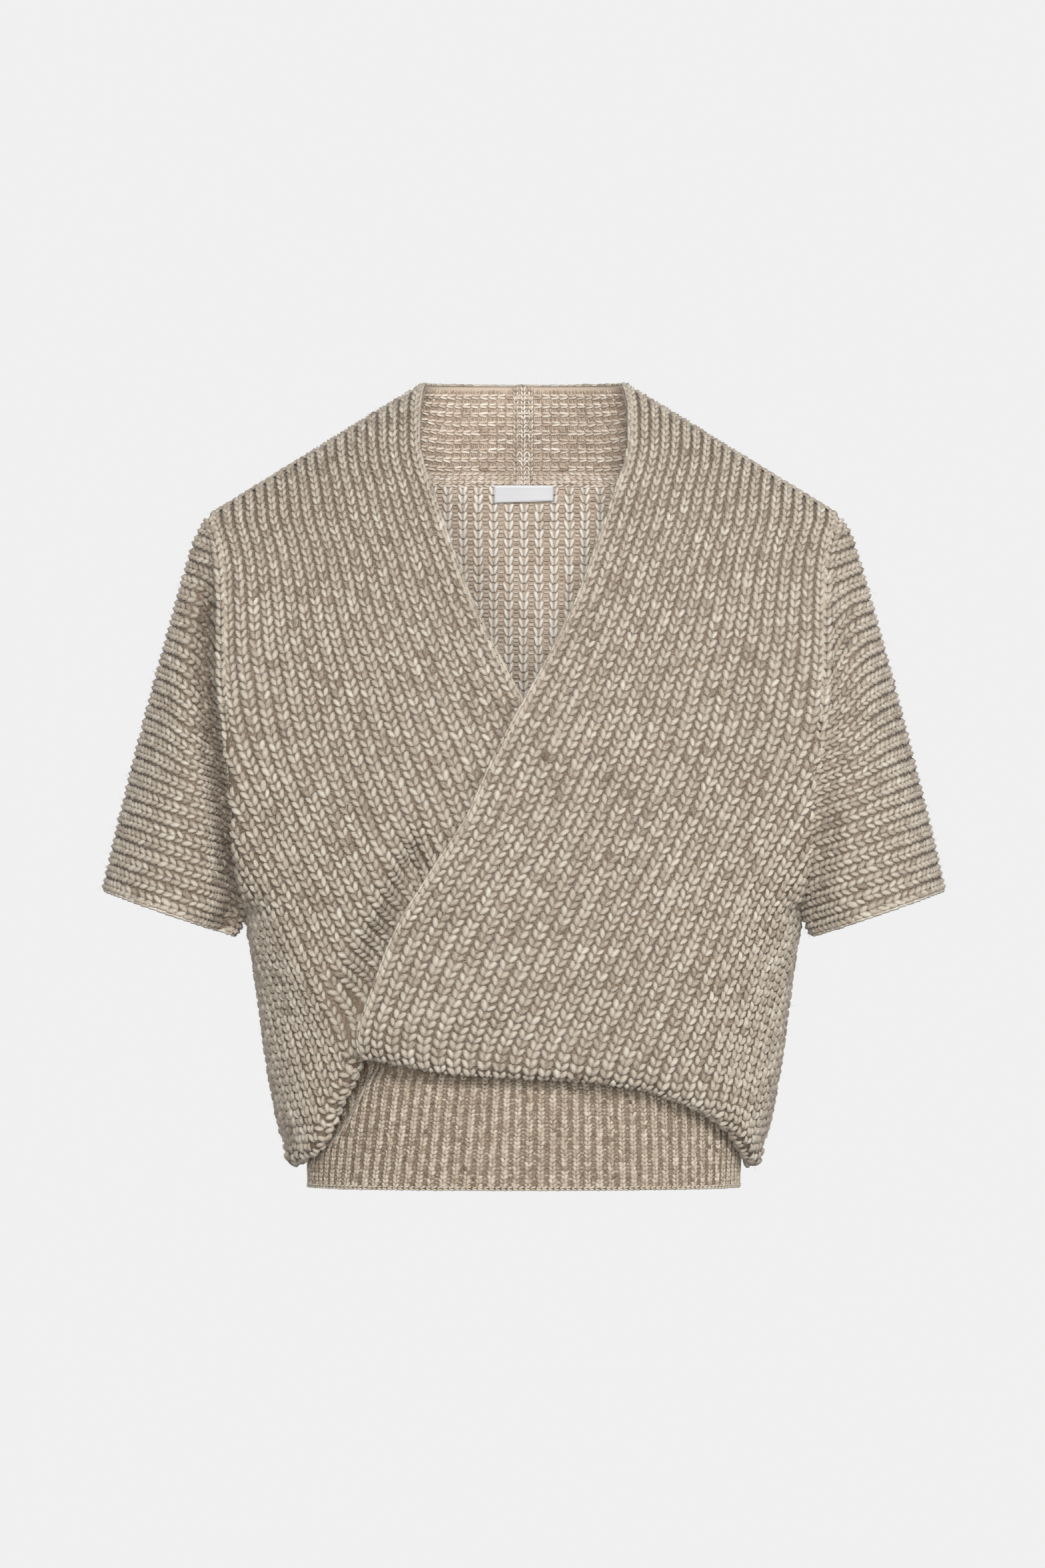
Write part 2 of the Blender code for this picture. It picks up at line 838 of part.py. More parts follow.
class Back(BodyPanel):
    """The whole back from one side seam to the other."""

    def __init__(self):
        super().__init__(1.0, folds=BACK_FOLDS)

    def half_column(self, j):
        column = self.start_column(j)
        share = max(j - SIDE_COLUMNS, 0) / MAIN_COLUMNS
        reach = {item[0]: item[2] for item in SIDE_ROWS}
        for row in range(ARMPIT_ROW):
            side_place = FOLD_SIDE_SHARE
            if row in reach:
                side_place = reach[row] / body_section(SIDE_WALL_Z, self.face).half
            place = side_place * j / SIDE_COLUMNS
            if j > SIDE_COLUMNS:
                place = side_place + (1.0 - side_place) * share
            column.points[row] = self.low_point(row, place)
        top = end_key(j) if j <= SIDE_COLUMNS else TOP_ROW
        for row, ended, z, side_reach in ARMHOLE_ROWS:
            if row >= top and j <= SIDE_COLUMNS:
                break
            section = body_section(z, self.face)
            if j <= SIDE_COLUMNS:
                length = self.side_column_place(j, row)
            else:
                length = side_reach + (section.half - side_reach) * share
            x, y = section.at(length)
            column.points[row] = (x, y, z)
            if j < SIDE_COLUMNS:
                column.flat.add(row)
        if j <= SIDE_COLUMNS:
            self.seam_end(column, top)
        if j >= SIDE_COLUMNS:
            self.upper_rows(column, j, share)
        if j == 0:
            self.side_seam(column)
        return column

    def upper_rows(self, column, j, share):
        past_neck = j - BACK_NECK_COLUMN
        if past_neck <= 0:
            over = (j - SIDE_COLUMNS) / (BACK_NECK_COLUMN - SIDE_COLUMNS)
            top_x = -TIP_X + (TIP_X - NECK_X) * over
            top = (top_x, HALF_GAP, shoulder_height(top_x))
            through = tuple(p * WALL for p in RIDGE_IN)
        else:
            place = past_neck / COLUMNS_PER_INNER
            i = min(int(place), COLLAR_ROWS - 1)
            low, high = neck_frame(i), neck_frame(i + 1)
            point, through, up = (between(a, b, place - i) for a, b in zip(low, high))
            top = add(point, up, -HALF_GAP)
        if past_neck == 0:
            top = add(top, neck_frame(0)[2], -HALF_GAP)
        low_z = ARMHOLE_ROWS[-1][2]
        for row, rise_share in UPPER_ROWS:
            if j == SIDE_COLUMNS:
                self.seam_end(column, row)
                continue
            z = low_z + (top[2] - low_z) * rise_share
            plain_x = -read(HALF_WIDTHS, z) * (1.0 - share)
            x = plain_x + (top[0] - plain_x) * rise_share
            column.points[row] = (x, depth(x, z, self.face), z)
        if j == SIDE_COLUMNS:
            point, _, away = self.frames[-1]
            x, _, z = add(point, away, -HALF_GAP)
            top = (x, HALF_GAP, z)
            column.left_top = FULL_ROW
        column.points[TOP_ROW] = top
        column.through[TOP_ROW] = through
        column.flat.add(TOP_ROW)

    def build(self):
        half = [self.half_column(j) for j in range(EDGE_COLUMNS + 1)]
        columns = half + [self.turned(column) for column in half[-2::-1]]
        return shell(columns, turn=-1.0)

    def turned(self, column):
        other = Column()
        other.points = {key: (-p[0], p[1], p[2]) for key, p in column.points.items()}
        other.through = {key: (-p[0], p[1], p[2]) for key, p in column.through.items()}
        other.relief = column.relief
        other.flat = column.flat
        other.left_top = column.right_top
        other.right_top = column.left_top
        other.has_inner = column.has_inner
        return other


class Sleeve:
    """Left-hand sleeve: ribs run round the arm, level with the cuff."""

    LEVELS_PER_INNER = 4

    def __init__(self):
        front = armhole_frames(-1.0)
        back = armhole_frames(1.0)
        self.loop = front + back[-2:0:-1]
        outer, inner = CUFF_OUTER, CUFF_INNER
        self.centre = ((outer[0] + inner[0]) / 2.0, 0.0, (outer[1] + inner[1]) / 2.0)
        self.half_width = math.dist(outer, inner) / 2.0
        self.inward = unit((inner[0] - outer[0], 0.0, inner[1] - outer[1]))
        self.axis = (-self.inward[2], 0.0, self.inward[0])

    def height(self, point):
        return sum((p - c) * a for p, c, a in zip(point, self.centre, self.axis))

    def ring_places(self):
        """Share of the way round the cuff for each armhole point, from the inner side."""
        lengths = [0.0]
        points = [frame[0] for frame in self.loop]
        for a, b in zip(points, points[1:] + points[:1]):
            lengths.append(lengths[-1] + math.dist(a, b))
        return [length / lengths[-1] for length in lengths[:-1]]

    def ring_point(self, place):
        turn = 2.0 * math.pi * place
        power = 2.0 / CUFF_POWER
        across = math.copysign(abs(math.cos(turn)) ** power, math.cos(turn))
        deep = -math.copysign(abs(math.sin(turn)) ** power, math.sin(turn))
        point = add(self.centre, self.inward, across * self.half_width)
        point = (point[0], deep * CUFF_HALF_DEPTH, point[2])
        out = unit((self.inward[0] * across, deep * self.half_width / CUFF_HALF_DEPTH,
                    self.inward[2] * across))
        return point, out

    def column(self, frame, place):
        column = Column()
        column.has_inner = True
        seam, through, away = frame
        seam = add(seam, away, HALF_GAP)
        ring, out = self.ring_point(place)
        tall = self.height(seam)
        swell = min(1.0, tall / 0.15)
        step = SLEEVE_PITCH / 2.0
        count = int((tall - 0.5 * step) / step)
        column.inner_keys = set()
        column.levels = {}
        for level in range(count + 1):
            share = level * step / tall
            point = between(ring, seam, share)
            point = add(point, out, read(SLEEVE_SWELLS, share) * swell)
            column.points[level * step] = point
            column.levels[level * step] = level
            if level % self.LEVELS_PER_INNER == 0:
                column.inner_keys.add(level * step)
        column.points[tall] = seam
        column.through[tall] = through
        column.flat.add(tall)
        column.inner_keys.add(tall)
        return column

    def build(self):
        columns = [self.column(f, p) for f, p in zip(self.loop, self.ring_places())]
        way_out = normals(columns, True, -1.0)
        for j, column in enumerate(columns):
            for key, level in column.levels.items():
                if level % 2 == 0:
                    continue
                column.points[key] = add(column.points[key], way_out[(j, key)], RIB_RAISE)
        return shell(columns, closed=True, turn=-1.0)


class Waistband:
    """Closed band of fine upright ribs."""

    def build(self):
        columns = []
        count = BAND_RIBS * 2
        for j in range(count):
            column = Column()
            column.has_inner = j % COLUMNS_PER_INNER == 0
            place = 4.0 * j / count
            face = -1.0 if place < 2.0 else 1.0
            for row, (z, _, rib) in enumerate(BAND_SECTIONS):
                section = band_section(z, face)
                along = place if place < 2.0 else 4.0 - place
                x, y = section.at(along * section.half)
                lift = BAND_RIB_RAISE * rib * (j % 2)
                size = math.hypot(x, y)
                column.points[row] = (x + x / size * lift, y + y / size * lift, z)
                if column.has_inner:
                    column.through[row] = (-x / size * WALL, -y / size * WALL, 0.0)
            columns.append(column)
        return shell(columns, closed=True, raise_by=0.0)


class Label:
    """Bare woven tab that hangs inside the back, moved off the back's inner face."""

    COLUMNS = 6

    def build(self):
        columns = []
        for j in range(self.COLUMNS + 1):
            x = -LABEL_HALF_WIDTH + 2.0 * LABEL_HALF_WIDTH * j / self.COLUMNS
            column = Column()
            column.has_inner = True
            for row in range(3):
                z = LABEL_TOP_Z - LABEL_HEIGHT + LABEL_HEIGHT * row / 2.0
                y = depth(x, z, 1.0) - WALL - LABEL_CLEAR
                column.points[row] = (x, y - LABEL_WALL, z)
                column.through[row] = (0.0, LABEL_WALL, 0.0)
            columns.append(column)
        return shell(columns, wall=LABEL_WALL, raise_by=0.0)


def knit_material(name, colour):
    material = bpy.data.materials.new(name)
    material.use_nodes = True
    surface = material.node_tree.nodes["Principled BSDF"]
    surface.inputs["Base Color"].default_value = (*colour, 1.0)
    surface.inputs["Roughness"].default_value = 0.95
    surface.inputs["Metallic"].default_value = 0.0
    return material


def add_piece(collection, name, points, faces):
    mesh = bpy.data.meshes.new(name)
    mesh.from_pydata(points, [], faces)
    mesh.update()
    mesh.materials.append(knit_material(name, PIECE_COLOURS[name]))
    piece = bpy.data.objects.new(name, mesh)
    collection.objects.link(piece)
    return piece


def main():
    for item in list(bpy.data.objects):
        bpy.data.objects.remove(item)
    collection = bpy.data.collections.new("wrap_sweater")
    bpy.context.scene.collection.children.link(collection)
    under = Front(folds=UNDER_FOLDS, under=UNDER_SHIFT, lap_more=UNDER_LAP)
    over = Front(folds=OVER_FOLDS, over=OVER_SHIFT)
    add_piece(collection, "back", *Back().build())
    add_piece(collection, "front_right", *under.build())
    add_piece(collection, "front_left", *mirrored(*over.build()))
    sleeve = Sleeve().build()
    add_piece(collection, "sleeve_right", *sleeve)
    add_piece(collection, "sleeve_left", *mirrored(*sleeve))
    add_piece(collection, "waistband", *Waistband().build())
    add_piece(collection, "label", *Label().build())


main()
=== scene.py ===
"""Looks of the short-sleeved wrap sweater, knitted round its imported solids.

Metres, +Z up, the front faces -Y and the wearer's left is at +X. Each panel of
the sweater is a thin shell on the form of its solid. The V stitches, edge
chains, linked seams and loose fibres are laid on the shells along their ribs.
"""

import logging
import math
from dataclasses import dataclass, field, fields
from enum import Enum, IntEnum
from typing import Iterable, Sequence

import bpy
import numpy as np
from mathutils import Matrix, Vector


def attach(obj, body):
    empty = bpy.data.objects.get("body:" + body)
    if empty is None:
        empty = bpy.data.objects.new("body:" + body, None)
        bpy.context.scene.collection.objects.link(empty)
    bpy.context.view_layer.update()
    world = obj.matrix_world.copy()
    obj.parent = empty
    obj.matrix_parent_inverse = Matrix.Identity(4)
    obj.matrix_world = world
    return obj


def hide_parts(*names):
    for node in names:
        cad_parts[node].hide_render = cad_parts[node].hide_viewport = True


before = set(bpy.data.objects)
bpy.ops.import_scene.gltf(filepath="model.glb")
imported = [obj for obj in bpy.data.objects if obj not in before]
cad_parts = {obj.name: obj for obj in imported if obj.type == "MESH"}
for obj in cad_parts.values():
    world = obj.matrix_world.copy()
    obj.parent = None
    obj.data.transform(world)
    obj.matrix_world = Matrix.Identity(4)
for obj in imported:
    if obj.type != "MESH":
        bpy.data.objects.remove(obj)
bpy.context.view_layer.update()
LOG = logging.getLogger("wrap_sweater")

Array = np.ndarray
Colour = tuple[float, float, float]
Values = dict[str, float | tuple[float, ...]]
Rows = Sequence[Sequence[float]]

# Ribs of a front, two columns to a rib, counted from the side seam
SIDE_COLUMNS = 24
EDGE_COLUMNS = 64
NECK_COLUMN = 42
BACK_NECK_COLUMN = 36
MAIN_COLUMNS = EDGE_COLUMNS - SIDE_COLUMNS
COLLAR_STEPS = 8
BACK_STEPS_PER_COLLAR_STEP = 3.5

# Shoulder line and waistband, as the solids have them
CORNER_X = 0.0715
CORNER_Z = 0.031
TIP_X = 0.226
SHOULDER_FALL = 0.6136
TIP_Z = CORNER_Z - SHOULDER_FALL * (TIP_X - CORNER_X)
NECK_X = TIP_X - (TIP_X - CORNER_X) * (NECK_COLUMN - SIDE_COLUMNS) / MAIN_COLUMNS
ARMPIT_Z = -0.348
ARMHOLE_TURN_Z = -0.215
BAND_TOP_Z = -0.430
BAND_HEM_Z = -0.548
HALF_GAP = 0.0002

# Widest that half a rib's stitches get
MOST_HALF_WIDTH = 0.0062

# How far the seed of a panel's fibres lies above that of its stitches
FIBRE_SEED_STEP = 20


class Seed(IntEnum):
    """Seeds of the small differences between the stitches of each lot."""

    FRONT_RIGHT = 11
    FRONT_LEFT = 12
    BACK = 13
    BACK_INSIDE = 14
    COLLAR_SEAM = 15
    SLEEVE_RIGHT = 16
    SLEEVE_LEFT = 17
    CUFF = 18
    BAND_RIB = 19
    BAND_PURL = 20
    HEM = 21
    EDGE = 31
    COLLAR_INSIDE = 41


class Face(Enum):
    """Which way a body panel looks."""

    FRONT = -1
    BACK = 1


class Side(Enum):
    """The wearer's side, by the sign of its X."""

    RIGHT = -1
    LEFT = 1


def smooth(share: Array | float) -> Array:
    """Soft step from 0 to 1."""
    share = np.clip(share, 0.0, 1.0)
    return share * share * (3.0 - 2.0 * share)


def unit(ways: Array) -> Array:
    """Directions of length 1."""
    size = np.linalg.norm(ways, axis=-1, keepdims=True)
    return ways / np.maximum(size, 1e-12)


def along(a: Array, b: Array) -> Array:
    """Dot product of each pair of vectors, kept as a last axis of one."""
    return np.sum(a * b, axis=-1, keepdims=True)


def mix(a: Array | float, b: Array | float, share: Array | float) -> Array:
    """Place between a and b."""
    return a + (b - a) * share


def lengths_of(line: Array) -> Array:
    """Length from the start of a line of points to each of them."""
    steps = np.linalg.norm(np.diff(line, axis=0), axis=1)
    return np.concatenate([[0.0], np.cumsum(steps)])


def resample(line: Array, count: int) -> Array:
    """The same line with evenly spaced points.

    Args:
        line: Points, one to a row.
        count: How many points to return.

    Returns:
        The points, ends included.
    """
    lengths = lengths_of(line)
    places = np.linspace(0.0, lengths[-1], count)
    return np.stack([np.interp(places, lengths, axis) for axis in line.T], axis=1)


def soften(line: Array, passes: int, reach: float) -> Array:
    """Round off the corners at the start of a line.

    Args:
        line: Evenly spaced points.
        passes: How often each point moves to its neighbours' middle.
        reach: Length over which the rounding fades out.

    Returns:
        The rounded line.
    """
    line = line.copy()
    weight = 1.0 - smooth(lengths_of(line) / reach - 0.6)
    for _ in range(passes):
        middle = (line[:-2] + 2.0 * line[1:-1] + line[2:]) / 4.0
        line[1:-1] = mix(line[1:-1], middle, weight[1:-1, None])
    return line


class Profile:
    """Smooth curve through a few rows that never overshoots them."""

    def __init__(self, rows: Rows, column: int = 1) -> None:
        """Work out the slope at each row.

        Args:
            rows: Rows of numbers, the place first.
            column: Which number of each row to follow.
        """
        self.places = np.array([row[0] for row in rows])
        self.values = np.array([row[column] for row in rows])
        rises = np.diff(self.values) / np.diff(self.places)
        before = np.concatenate([rises[:1], rises])
        after = np.concatenate([rises, rises[-1:]])
        same_way = before * after > 0.0
        total = np.where(same_way, before + after, 1.0)
        self.slopes = np.where(same_way, 2.0 * before * after / total, 0.0)

    def __call__(self, at: Array | float) -> Array:
        """Value at a place."""
        at = np.clip(at, self.places[0], self.places[-1])
        i = np.clip(np.searchsorted(self.places, at) - 1, 0, len(self.places) - 2)
        step = self.places[i + 1] - self.places[i]
        s = (at - self.places[i]) / step
        return (
            (1.0 + 2.0 * s) * (1.0 - s) ** 2 * self.values[i]
            + s * (1.0 - s) ** 2 * step * self.slopes[i]
            + s * s * (3.0 - 2.0 * s) * self.values[i + 1]
            + s * s * (s - 1.0) * step * self.slopes[i + 1]
        )


@dataclass
class BodyForm:
    """Form of the sweater's body, front and back, and of the waistband's ring."""

    half_widths: Rows = (
        (-0.529, 0.1600), (-0.5256, 0.1650), (-0.5136, 0.1710), (-0.5016, 0.1753),
        (-0.4776, 0.1802), (-0.4536, 0.1843), (-0.4296, 0.1876), (-0.4056, 0.1910),
        (-0.3816, 0.1942), (-0.348, 0.1990), (-0.306, 0.2030), (-0.265, 0.2065),
        (-0.215, 0.2130), (-0.170, 0.2165), (-0.136, 0.2165), (-0.109, 0.2175),
        (-0.088, 0.2200), (TIP_Z, TIP_X), (CORNER_Z, TIP_X),
    )
    edge_shares: Rows = (
        (-0.600, 0.0), (-0.348, 0.0), (-0.338, 0.245), (-0.306, 0.476),
        (-0.265, 0.653), (-0.215, 0.804), (-0.170, 0.85), (-0.109, 0.87),
        (TIP_Z, 0.90), (CORNER_Z, 0.95),
    )
    depths: Rows = (
        (0.0, 0.0, 0.0), (0.002, 0.0085, 0.0080), (0.006, 0.0150, 0.0140),
        (0.015, 0.0260, 0.0250), (0.030, 0.0390, 0.0370), (0.060, 0.0565, 0.0540),
        (0.100, 0.0730, 0.0700), (0.157, 0.0880, 0.0840), (0.246, 0.1040, 0.0980),
        (0.320, 0.1130, 0.1040), (0.400, 0.1190, 0.1060), (0.470, 0.1210, 0.1070),
        (0.600, 0.1210, 0.1070),
    )
    front_edges: Rows = (
        (-0.540, -0.121), (-0.452, -0.121), (-0.436, -0.119), (-0.415, -0.112),
        (-0.390, -0.103), (-0.361, -0.091), (-0.317, -0.064), (-0.283, -0.042),
        (-0.235, -0.020), (-0.200, -0.0015), (-0.184, 0.0085), (-0.163, 0.0195),
        (-0.129, 0.0360), (-0.097, 0.0480), (-0.069, 0.0580), (-0.040, 0.0675),
        (-0.028, 0.0720), (-0.010, 0.0750), (0.010, 0.0750), (CORNER_Z, CORNER_X),
    )
    armhole_columns: Rows = (
        (ARMPIT_Z, 0.0), (-0.338, 8.0), (-0.306, 16.0), (-0.265, 20.0),
        (ARMHOLE_TURN_Z, float(SIDE_COLUMNS)),
    )
    side_reaches: Rows = (
        (-0.530, 0.112), (-0.440, 0.100), (ARMPIT_Z, 0.085), (-0.338, 0.056),
        (-0.306, 0.030), (-0.265, 0.012), (ARMHOLE_TURN_Z, 0.0),
    )
    side_turn: float = 2.4
    mend_turn: int = 6
    chest_start: float = -0.375
    chest_reach: float = 0.16
    chest_edge: float = 0.804
    section_steps: int = 80
    band_front_depth: float = 0.100
    band_back_depth: float = 0.098
    band_power: float = 2.3
    band_widths: Rows = ((BAND_HEM_Z, 0.1545), (-0.475, 0.1575), (BAND_TOP_Z, 0.1575))
    back_neck_z: float = -0.040
    back_neck_flat_x: float = 0.060
    collar_back_y: float = 0.044

    def __post_init__(self) -> None:
        """Prepare the curves through the rows."""
        self.half_width = Profile(self.half_widths)
        self.edge_share = Profile(self.edge_shares)
        self.front_depth = Profile(self.depths, 1)
        self.back_depth = Profile(self.depths, 2)
        self.front_edge = Profile(self.front_edges)
        self.armhole_column = Profile(self.armhole_columns)
        self.side_reach = Profile(self.side_reaches)
        self.band_width = Profile(self.band_widths)

    def shoulder_height(self, x: Array | float) -> Array:
        """Height of the shoulder line, carried on in an arch across the neck."""
        x = np.abs(x)
        arch = CORNER_Z + SHOULDER_FALL * (CORNER_X**2 - x * x) / (2.0 * CORNER_X)
        return np.where(x >= CORNER_X, CORNER_Z - SHOULDER_FALL * (x - CORNER_X), arch)

    def depth(self, x: Array, z: Array, face: Face) -> Array:
        """How far the outer face stands from the shoulder plane, with its sign.

        Args:
            x: Places across the body.
            z: Heights.
            face: Front or back.

        Returns:
            Depths, in metres.
        """
        curve = self.front_depth if face is Face.FRONT else self.back_depth
        full = curve(self.shoulder_height(x) - z)
        share = np.minimum(np.abs(x) / self.half_width(z), 1.0)
        side = share**self.side_turn
        chest = smooth((z - self.chest_start) / self.chest_reach)
        crown = mix(np.sqrt(1.0 - side), 1.0 - (1.0 - self.chest_edge) * side, chest)
        mend = (self.edge_share(z) - chest * self.chest_edge) * side**self.mend_turn
        return face.value * full * (crown + mend)

    def sections(self, z: Array, face: Face) -> tuple[Array, Array, Array]:
        """Level curves across the body.

        Args:
            z: Heights.
            face: The front or the back.

        Returns:
            X, Y and length from the left end, with a row for each height.
        """
        turns = -np.cos(np.linspace(0.0, math.pi, self.section_steps + 1))
        x = self.half_width(z)[:, None] * turns[None, :]
        y = self.depth(x, z[:, None], face)
        steps = np.hypot(np.diff(x, axis=1), np.diff(y, axis=1))
        lengths = np.concatenate([np.zeros((len(z), 1)), np.cumsum(steps, axis=1)], axis=1)
        return x, y, lengths

    def from_middle(self, x: Array, z: Array, face: Face) -> Array:
        """Length across the level curves from the middle to given places."""
        xs, _, lengths = self.sections(z, face)
        length, _ = pick(lengths, lengths, xs, x)
        return length - lengths[:, -1] / 2.0

    def neck_seam(self, steps: Array) -> Array:
        """Points of the back neck seam, from the shoulder (0) to the middle."""
        x = -NECK_X * (1.0 - steps / COLLAR_STEPS)
        span = NECK_X - self.back_neck_flat_x
        share = smooth((np.abs(x) - self.back_neck_flat_x) / span)
        z = mix(self.back_neck_z, self.shoulder_height(NECK_X), share)
        return np.stack([x, self.depth(x, z, Face.BACK), z], axis=-1)

    def collar_edge(self, steps: Array) -> Array:
        """Points of the collar's top edge, from the front (0) to the middle."""
        turn = math.pi / 2.0 * steps / COLLAR_STEPS
        z = np.full_like(turn, CORNER_Z)
        return np.stack([-CORNER_X * np.cos(turn), self.collar_back_y * np.sin(turn), z], axis=-1)

    def armhole(self, face: Face, count: int) -> Array:
        """Points of the armhole on the right, from the armpit to the shoulder tip.

        Args:
            face: Front or back.
            count: Number of points.

        Returns:
            The points.
        """
        share = (1.0 - np.cos(np.linspace(0.0, math.pi, count))) / 2.0
        z = mix(ARMPIT_Z, TIP_Z, share)
        x = -self.half_width(z)
        line = np.stack([x, self.depth(x, z, face), z], axis=1)
        line[-1] = (-TIP_X, 0.0, TIP_Z)
        return line

    def band_point(self, place: Array, z: Array, face: Face, out: Array | float) -> Array:
        """Points on the waistband's form.

        Args:
            place: Share of the way from the right side over this face, 0 to 2.
            z: Heights.
            face: The front or the back.
            out: How far the points stand off the band.

        Returns:
            The points.
        """
        turns = -np.cos(np.linspace(0.0, math.pi, self.section_steps + 1))
        curve = np.power(1.0 - np.abs(turns) ** self.band_power, 0.5)
        full = self.band_front_depth if face is Face.FRONT else self.band_back_depth
        half = self.band_width(z) + out
        deep = full + out
        place, z, half, deep = np.broadcast_arrays(place, z, half, deep)
        xs = half[..., None] * turns
        ys = deep[..., None] * curve
        steps = np.hypot(np.diff(xs, axis=-1), np.diff(ys, axis=-1))
        lengths = np.concatenate([np.zeros((*place.shape, 1)), np.cumsum(steps, -1)], -1)
        x, y = pick(xs, ys, lengths, place * lengths[..., -1] / 2.0)
        return np.stack([x, face.value * y, z], axis=-1)


def pick(xs: Array, ys: Array, lengths: Array, at: Array) -> tuple[Array, Array]:
    """Points at given lengths, each on its own curve.

    Args:
        xs: X of each curve's points, along the last axis.
        ys: Y of each curve's points.
        lengths: Length from the start to each point.
        at: The length looked for on each curve.

    Returns:
        X and Y.
    """
    at = np.clip(at, lengths[..., 0], lengths[..., -1])
    i = np.sum(lengths < at[..., None], axis=-1) - 1
    i = np.clip(i, 0, lengths.shape[-1] - 2)[..., None]
    low = np.take_along_axis(lengths, i, -1)[..., 0]
    high = np.take_along_axis(lengths, i + 1, -1)[..., 0]
    share = (at - low) / np.maximum(high - low, 1e-12)
    x = mix(np.take_along_axis(xs, i, -1)[..., 0], np.take_along_axis(xs, i + 1, -1)[..., 0], share)
    y = mix(np.take_along_axis(ys, i, -1)[..., 0], np.take_along_axis(ys, i + 1, -1)[..., 0], share)
    return x, y


@dataclass
class Patch:
    """A grid of points on a panel: ribs run along the rows, columns lie side by side."""

    points: Array
    first_column: int
    turn: float
    most_bend: float = 160.0
    facing_start: float = 0.1
    facing_reach: float = 0.5

    def __post_init__(self) -> None:
        """Work out the ways up, across and outward at each point."""
        self.find_ways()

    def find_ways(self) -> None:
        """Ways up along the rib, across it and out of the cloth, and the rib's width."""
        up = unit(np.gradient(self.points, axis=1))
        across = np.gradient(self.points, axis=0) * 2.0
        across = across - along(across, up) * up
        self.width = np.linalg.norm(across, axis=-1)
        self.up = up
        self.across = unit(across)
        self.out = np.cross(self.across, up) * self.turn
        step = np.linalg.norm(np.gradient(self.points, axis=1), axis=-1)
        bend = np.sum(np.gradient(up, axis=1) * self.out, axis=-1) / np.maximum(step, 1e-6)
        self.bend = np.clip(bend, -self.most_bend, self.most_bend)

    def crease(self, creases: Iterable["Crease"]) -> None:
        """Push the cloth in and out along its creases."""
        lift = sum((item.lift(self.points) for item in creases), np.zeros(self.width.shape))
        away = self.points * np.array([1.0, 1.0, 0.0])
        facing = np.sum(unit(away) * self.out, axis=-1)
        lift = lift * smooth((facing - self.facing_start) / self.facing_reach)
        self.points = self.points + self.out * lift[..., None]
        self.find_ways()

    def columns(self) -> range:
        """Numbers of the patch's columns."""
        return range(self.first_column, self.first_column + len(self.points))


@dataclass(frozen=True)
class Crease:
    """Soft ridge or trough across the front view, from one point to another."""

    start: tuple[float, float]
    end: tuple[float, float]
    width: float
    height: float
    sway_share: float = 0.25
    sway_turns: float = 7.0
    sway_shift: float = 90.0
    end_reach: float = 0.35

    def lift(self, points: Array) -> Array:
        """How far each point moves outward."""
        a = np.array(self.start)
        way = np.array(self.end) - a
        size = np.linalg.norm(way)
        way = way / size
        flat = points[..., (0, 2)] - a
        place = flat @ way / size
        off = flat[..., 0] * way[1] - flat[..., 1] * way[0]
        turn = place * self.sway_turns + self.start[0] * self.sway_shift
        sway = self.sway_share * self.width * np.sin(turn)
        ends = smooth(place / self.end_reach + 0.5) * smooth((1.0 - place) / self.end_reach + 0.5)
        return self.height * ends * np.exp(-(((off + sway) / self.width) ** 2))


@dataclass(frozen=True)
class StitchForm:
    """Sizes of one kind of stitch, as shares of its rib's half width and its height."""

    height: float
    inner: float = 0.14
    outer: float = 0.67
    thick: float = 0.46
    deep: float = 0.0019
    long: float = 1.18
    arch: float = 0.0013
    sink: float = -0.0003
    sides: int = 4
    rings: int = 3
    jitter: float = 0.08


@dataclass
class Stitches:
    """Where the stitches of one kind lie and how they point."""

    place: Array
    up: Array
    across: Array
    out: Array
    half_width: Array
    spot: Array
    bend: Array

    @staticmethod
    def joined(parts: Sequence["Stitches"]) -> "Stitches":
        """All the stitches of several lots."""
        names = [item.name for item in fields(Stitches)]
        return Stitches(*(np.concatenate([getattr(p, name) for p in parts]) for name in names))

    def kept(self, keep: Array) -> "Stitches":
        """The stitches for which keep is true."""
        return Stitches(*(getattr(self, item.name)[keep] for item in fields(Stitches)))

    def mirrored(self) -> "Stitches":
        """The same stitches on the wearer's other side."""
        turn = np.array([-1.0, 1.0, 1.0])
        return Stitches(
            self.place * turn, self.up * turn, self.across * turn, self.out * turn,
            self.half_width, self.spot, self.bend,
        )

    def inside(self, wall: float) -> "Stitches":
        """The same stitches on the inner face of a wall."""
        return Stitches(
            self.place - self.out * wall, self.up, -self.across, -self.out,
            self.half_width, self.spot, -self.bend,
        )


def walk(patch: Patch, column: int, pitch: float, skip: tuple[float, float] = (0.0, 0.0),
         narrow: float = 1.0) -> Stitches:
    """Stitches one above the other along a patch's column.

    Args:
        patch: The patch.
        column: Number of the column among the patch's own.
        pitch: Height of a stitch.
        skip: Lengths left bare at the start and at the end.
        narrow: Share of the rib's width that the stitches take.

    Returns:
        The stitches.
    """
    line = patch.points[column]
    lengths = lengths_of(line)
    room = lengths[-1] - skip[0] - skip[1]
    count = max(int(round(room / pitch)), 0)
    at = skip[0] + (np.arange(count) + 0.5) * room / max(count, 1)
    place = np.interp(at, lengths, np.arange(len(line)))
    low = np.clip(place.astype(int), 0, len(line) - 2)
    share = place - low

    def read(values: Array) -> Array:
        """Value of a field of the patch at each stitch."""
        a, b = values[column][low], values[column][low + 1]
        return mix(a, b, share if a.ndim == 1 else share[:, None])

    up = unit(read(patch.up))
    out = unit(read(patch.out))
    return Stitches(
        read(patch.points), up, unit(read(patch.across)), out,
        np.minimum(read(patch.width) * 0.5, MOST_HALF_WIDTH) * narrow, place, read(patch.bend),
    )


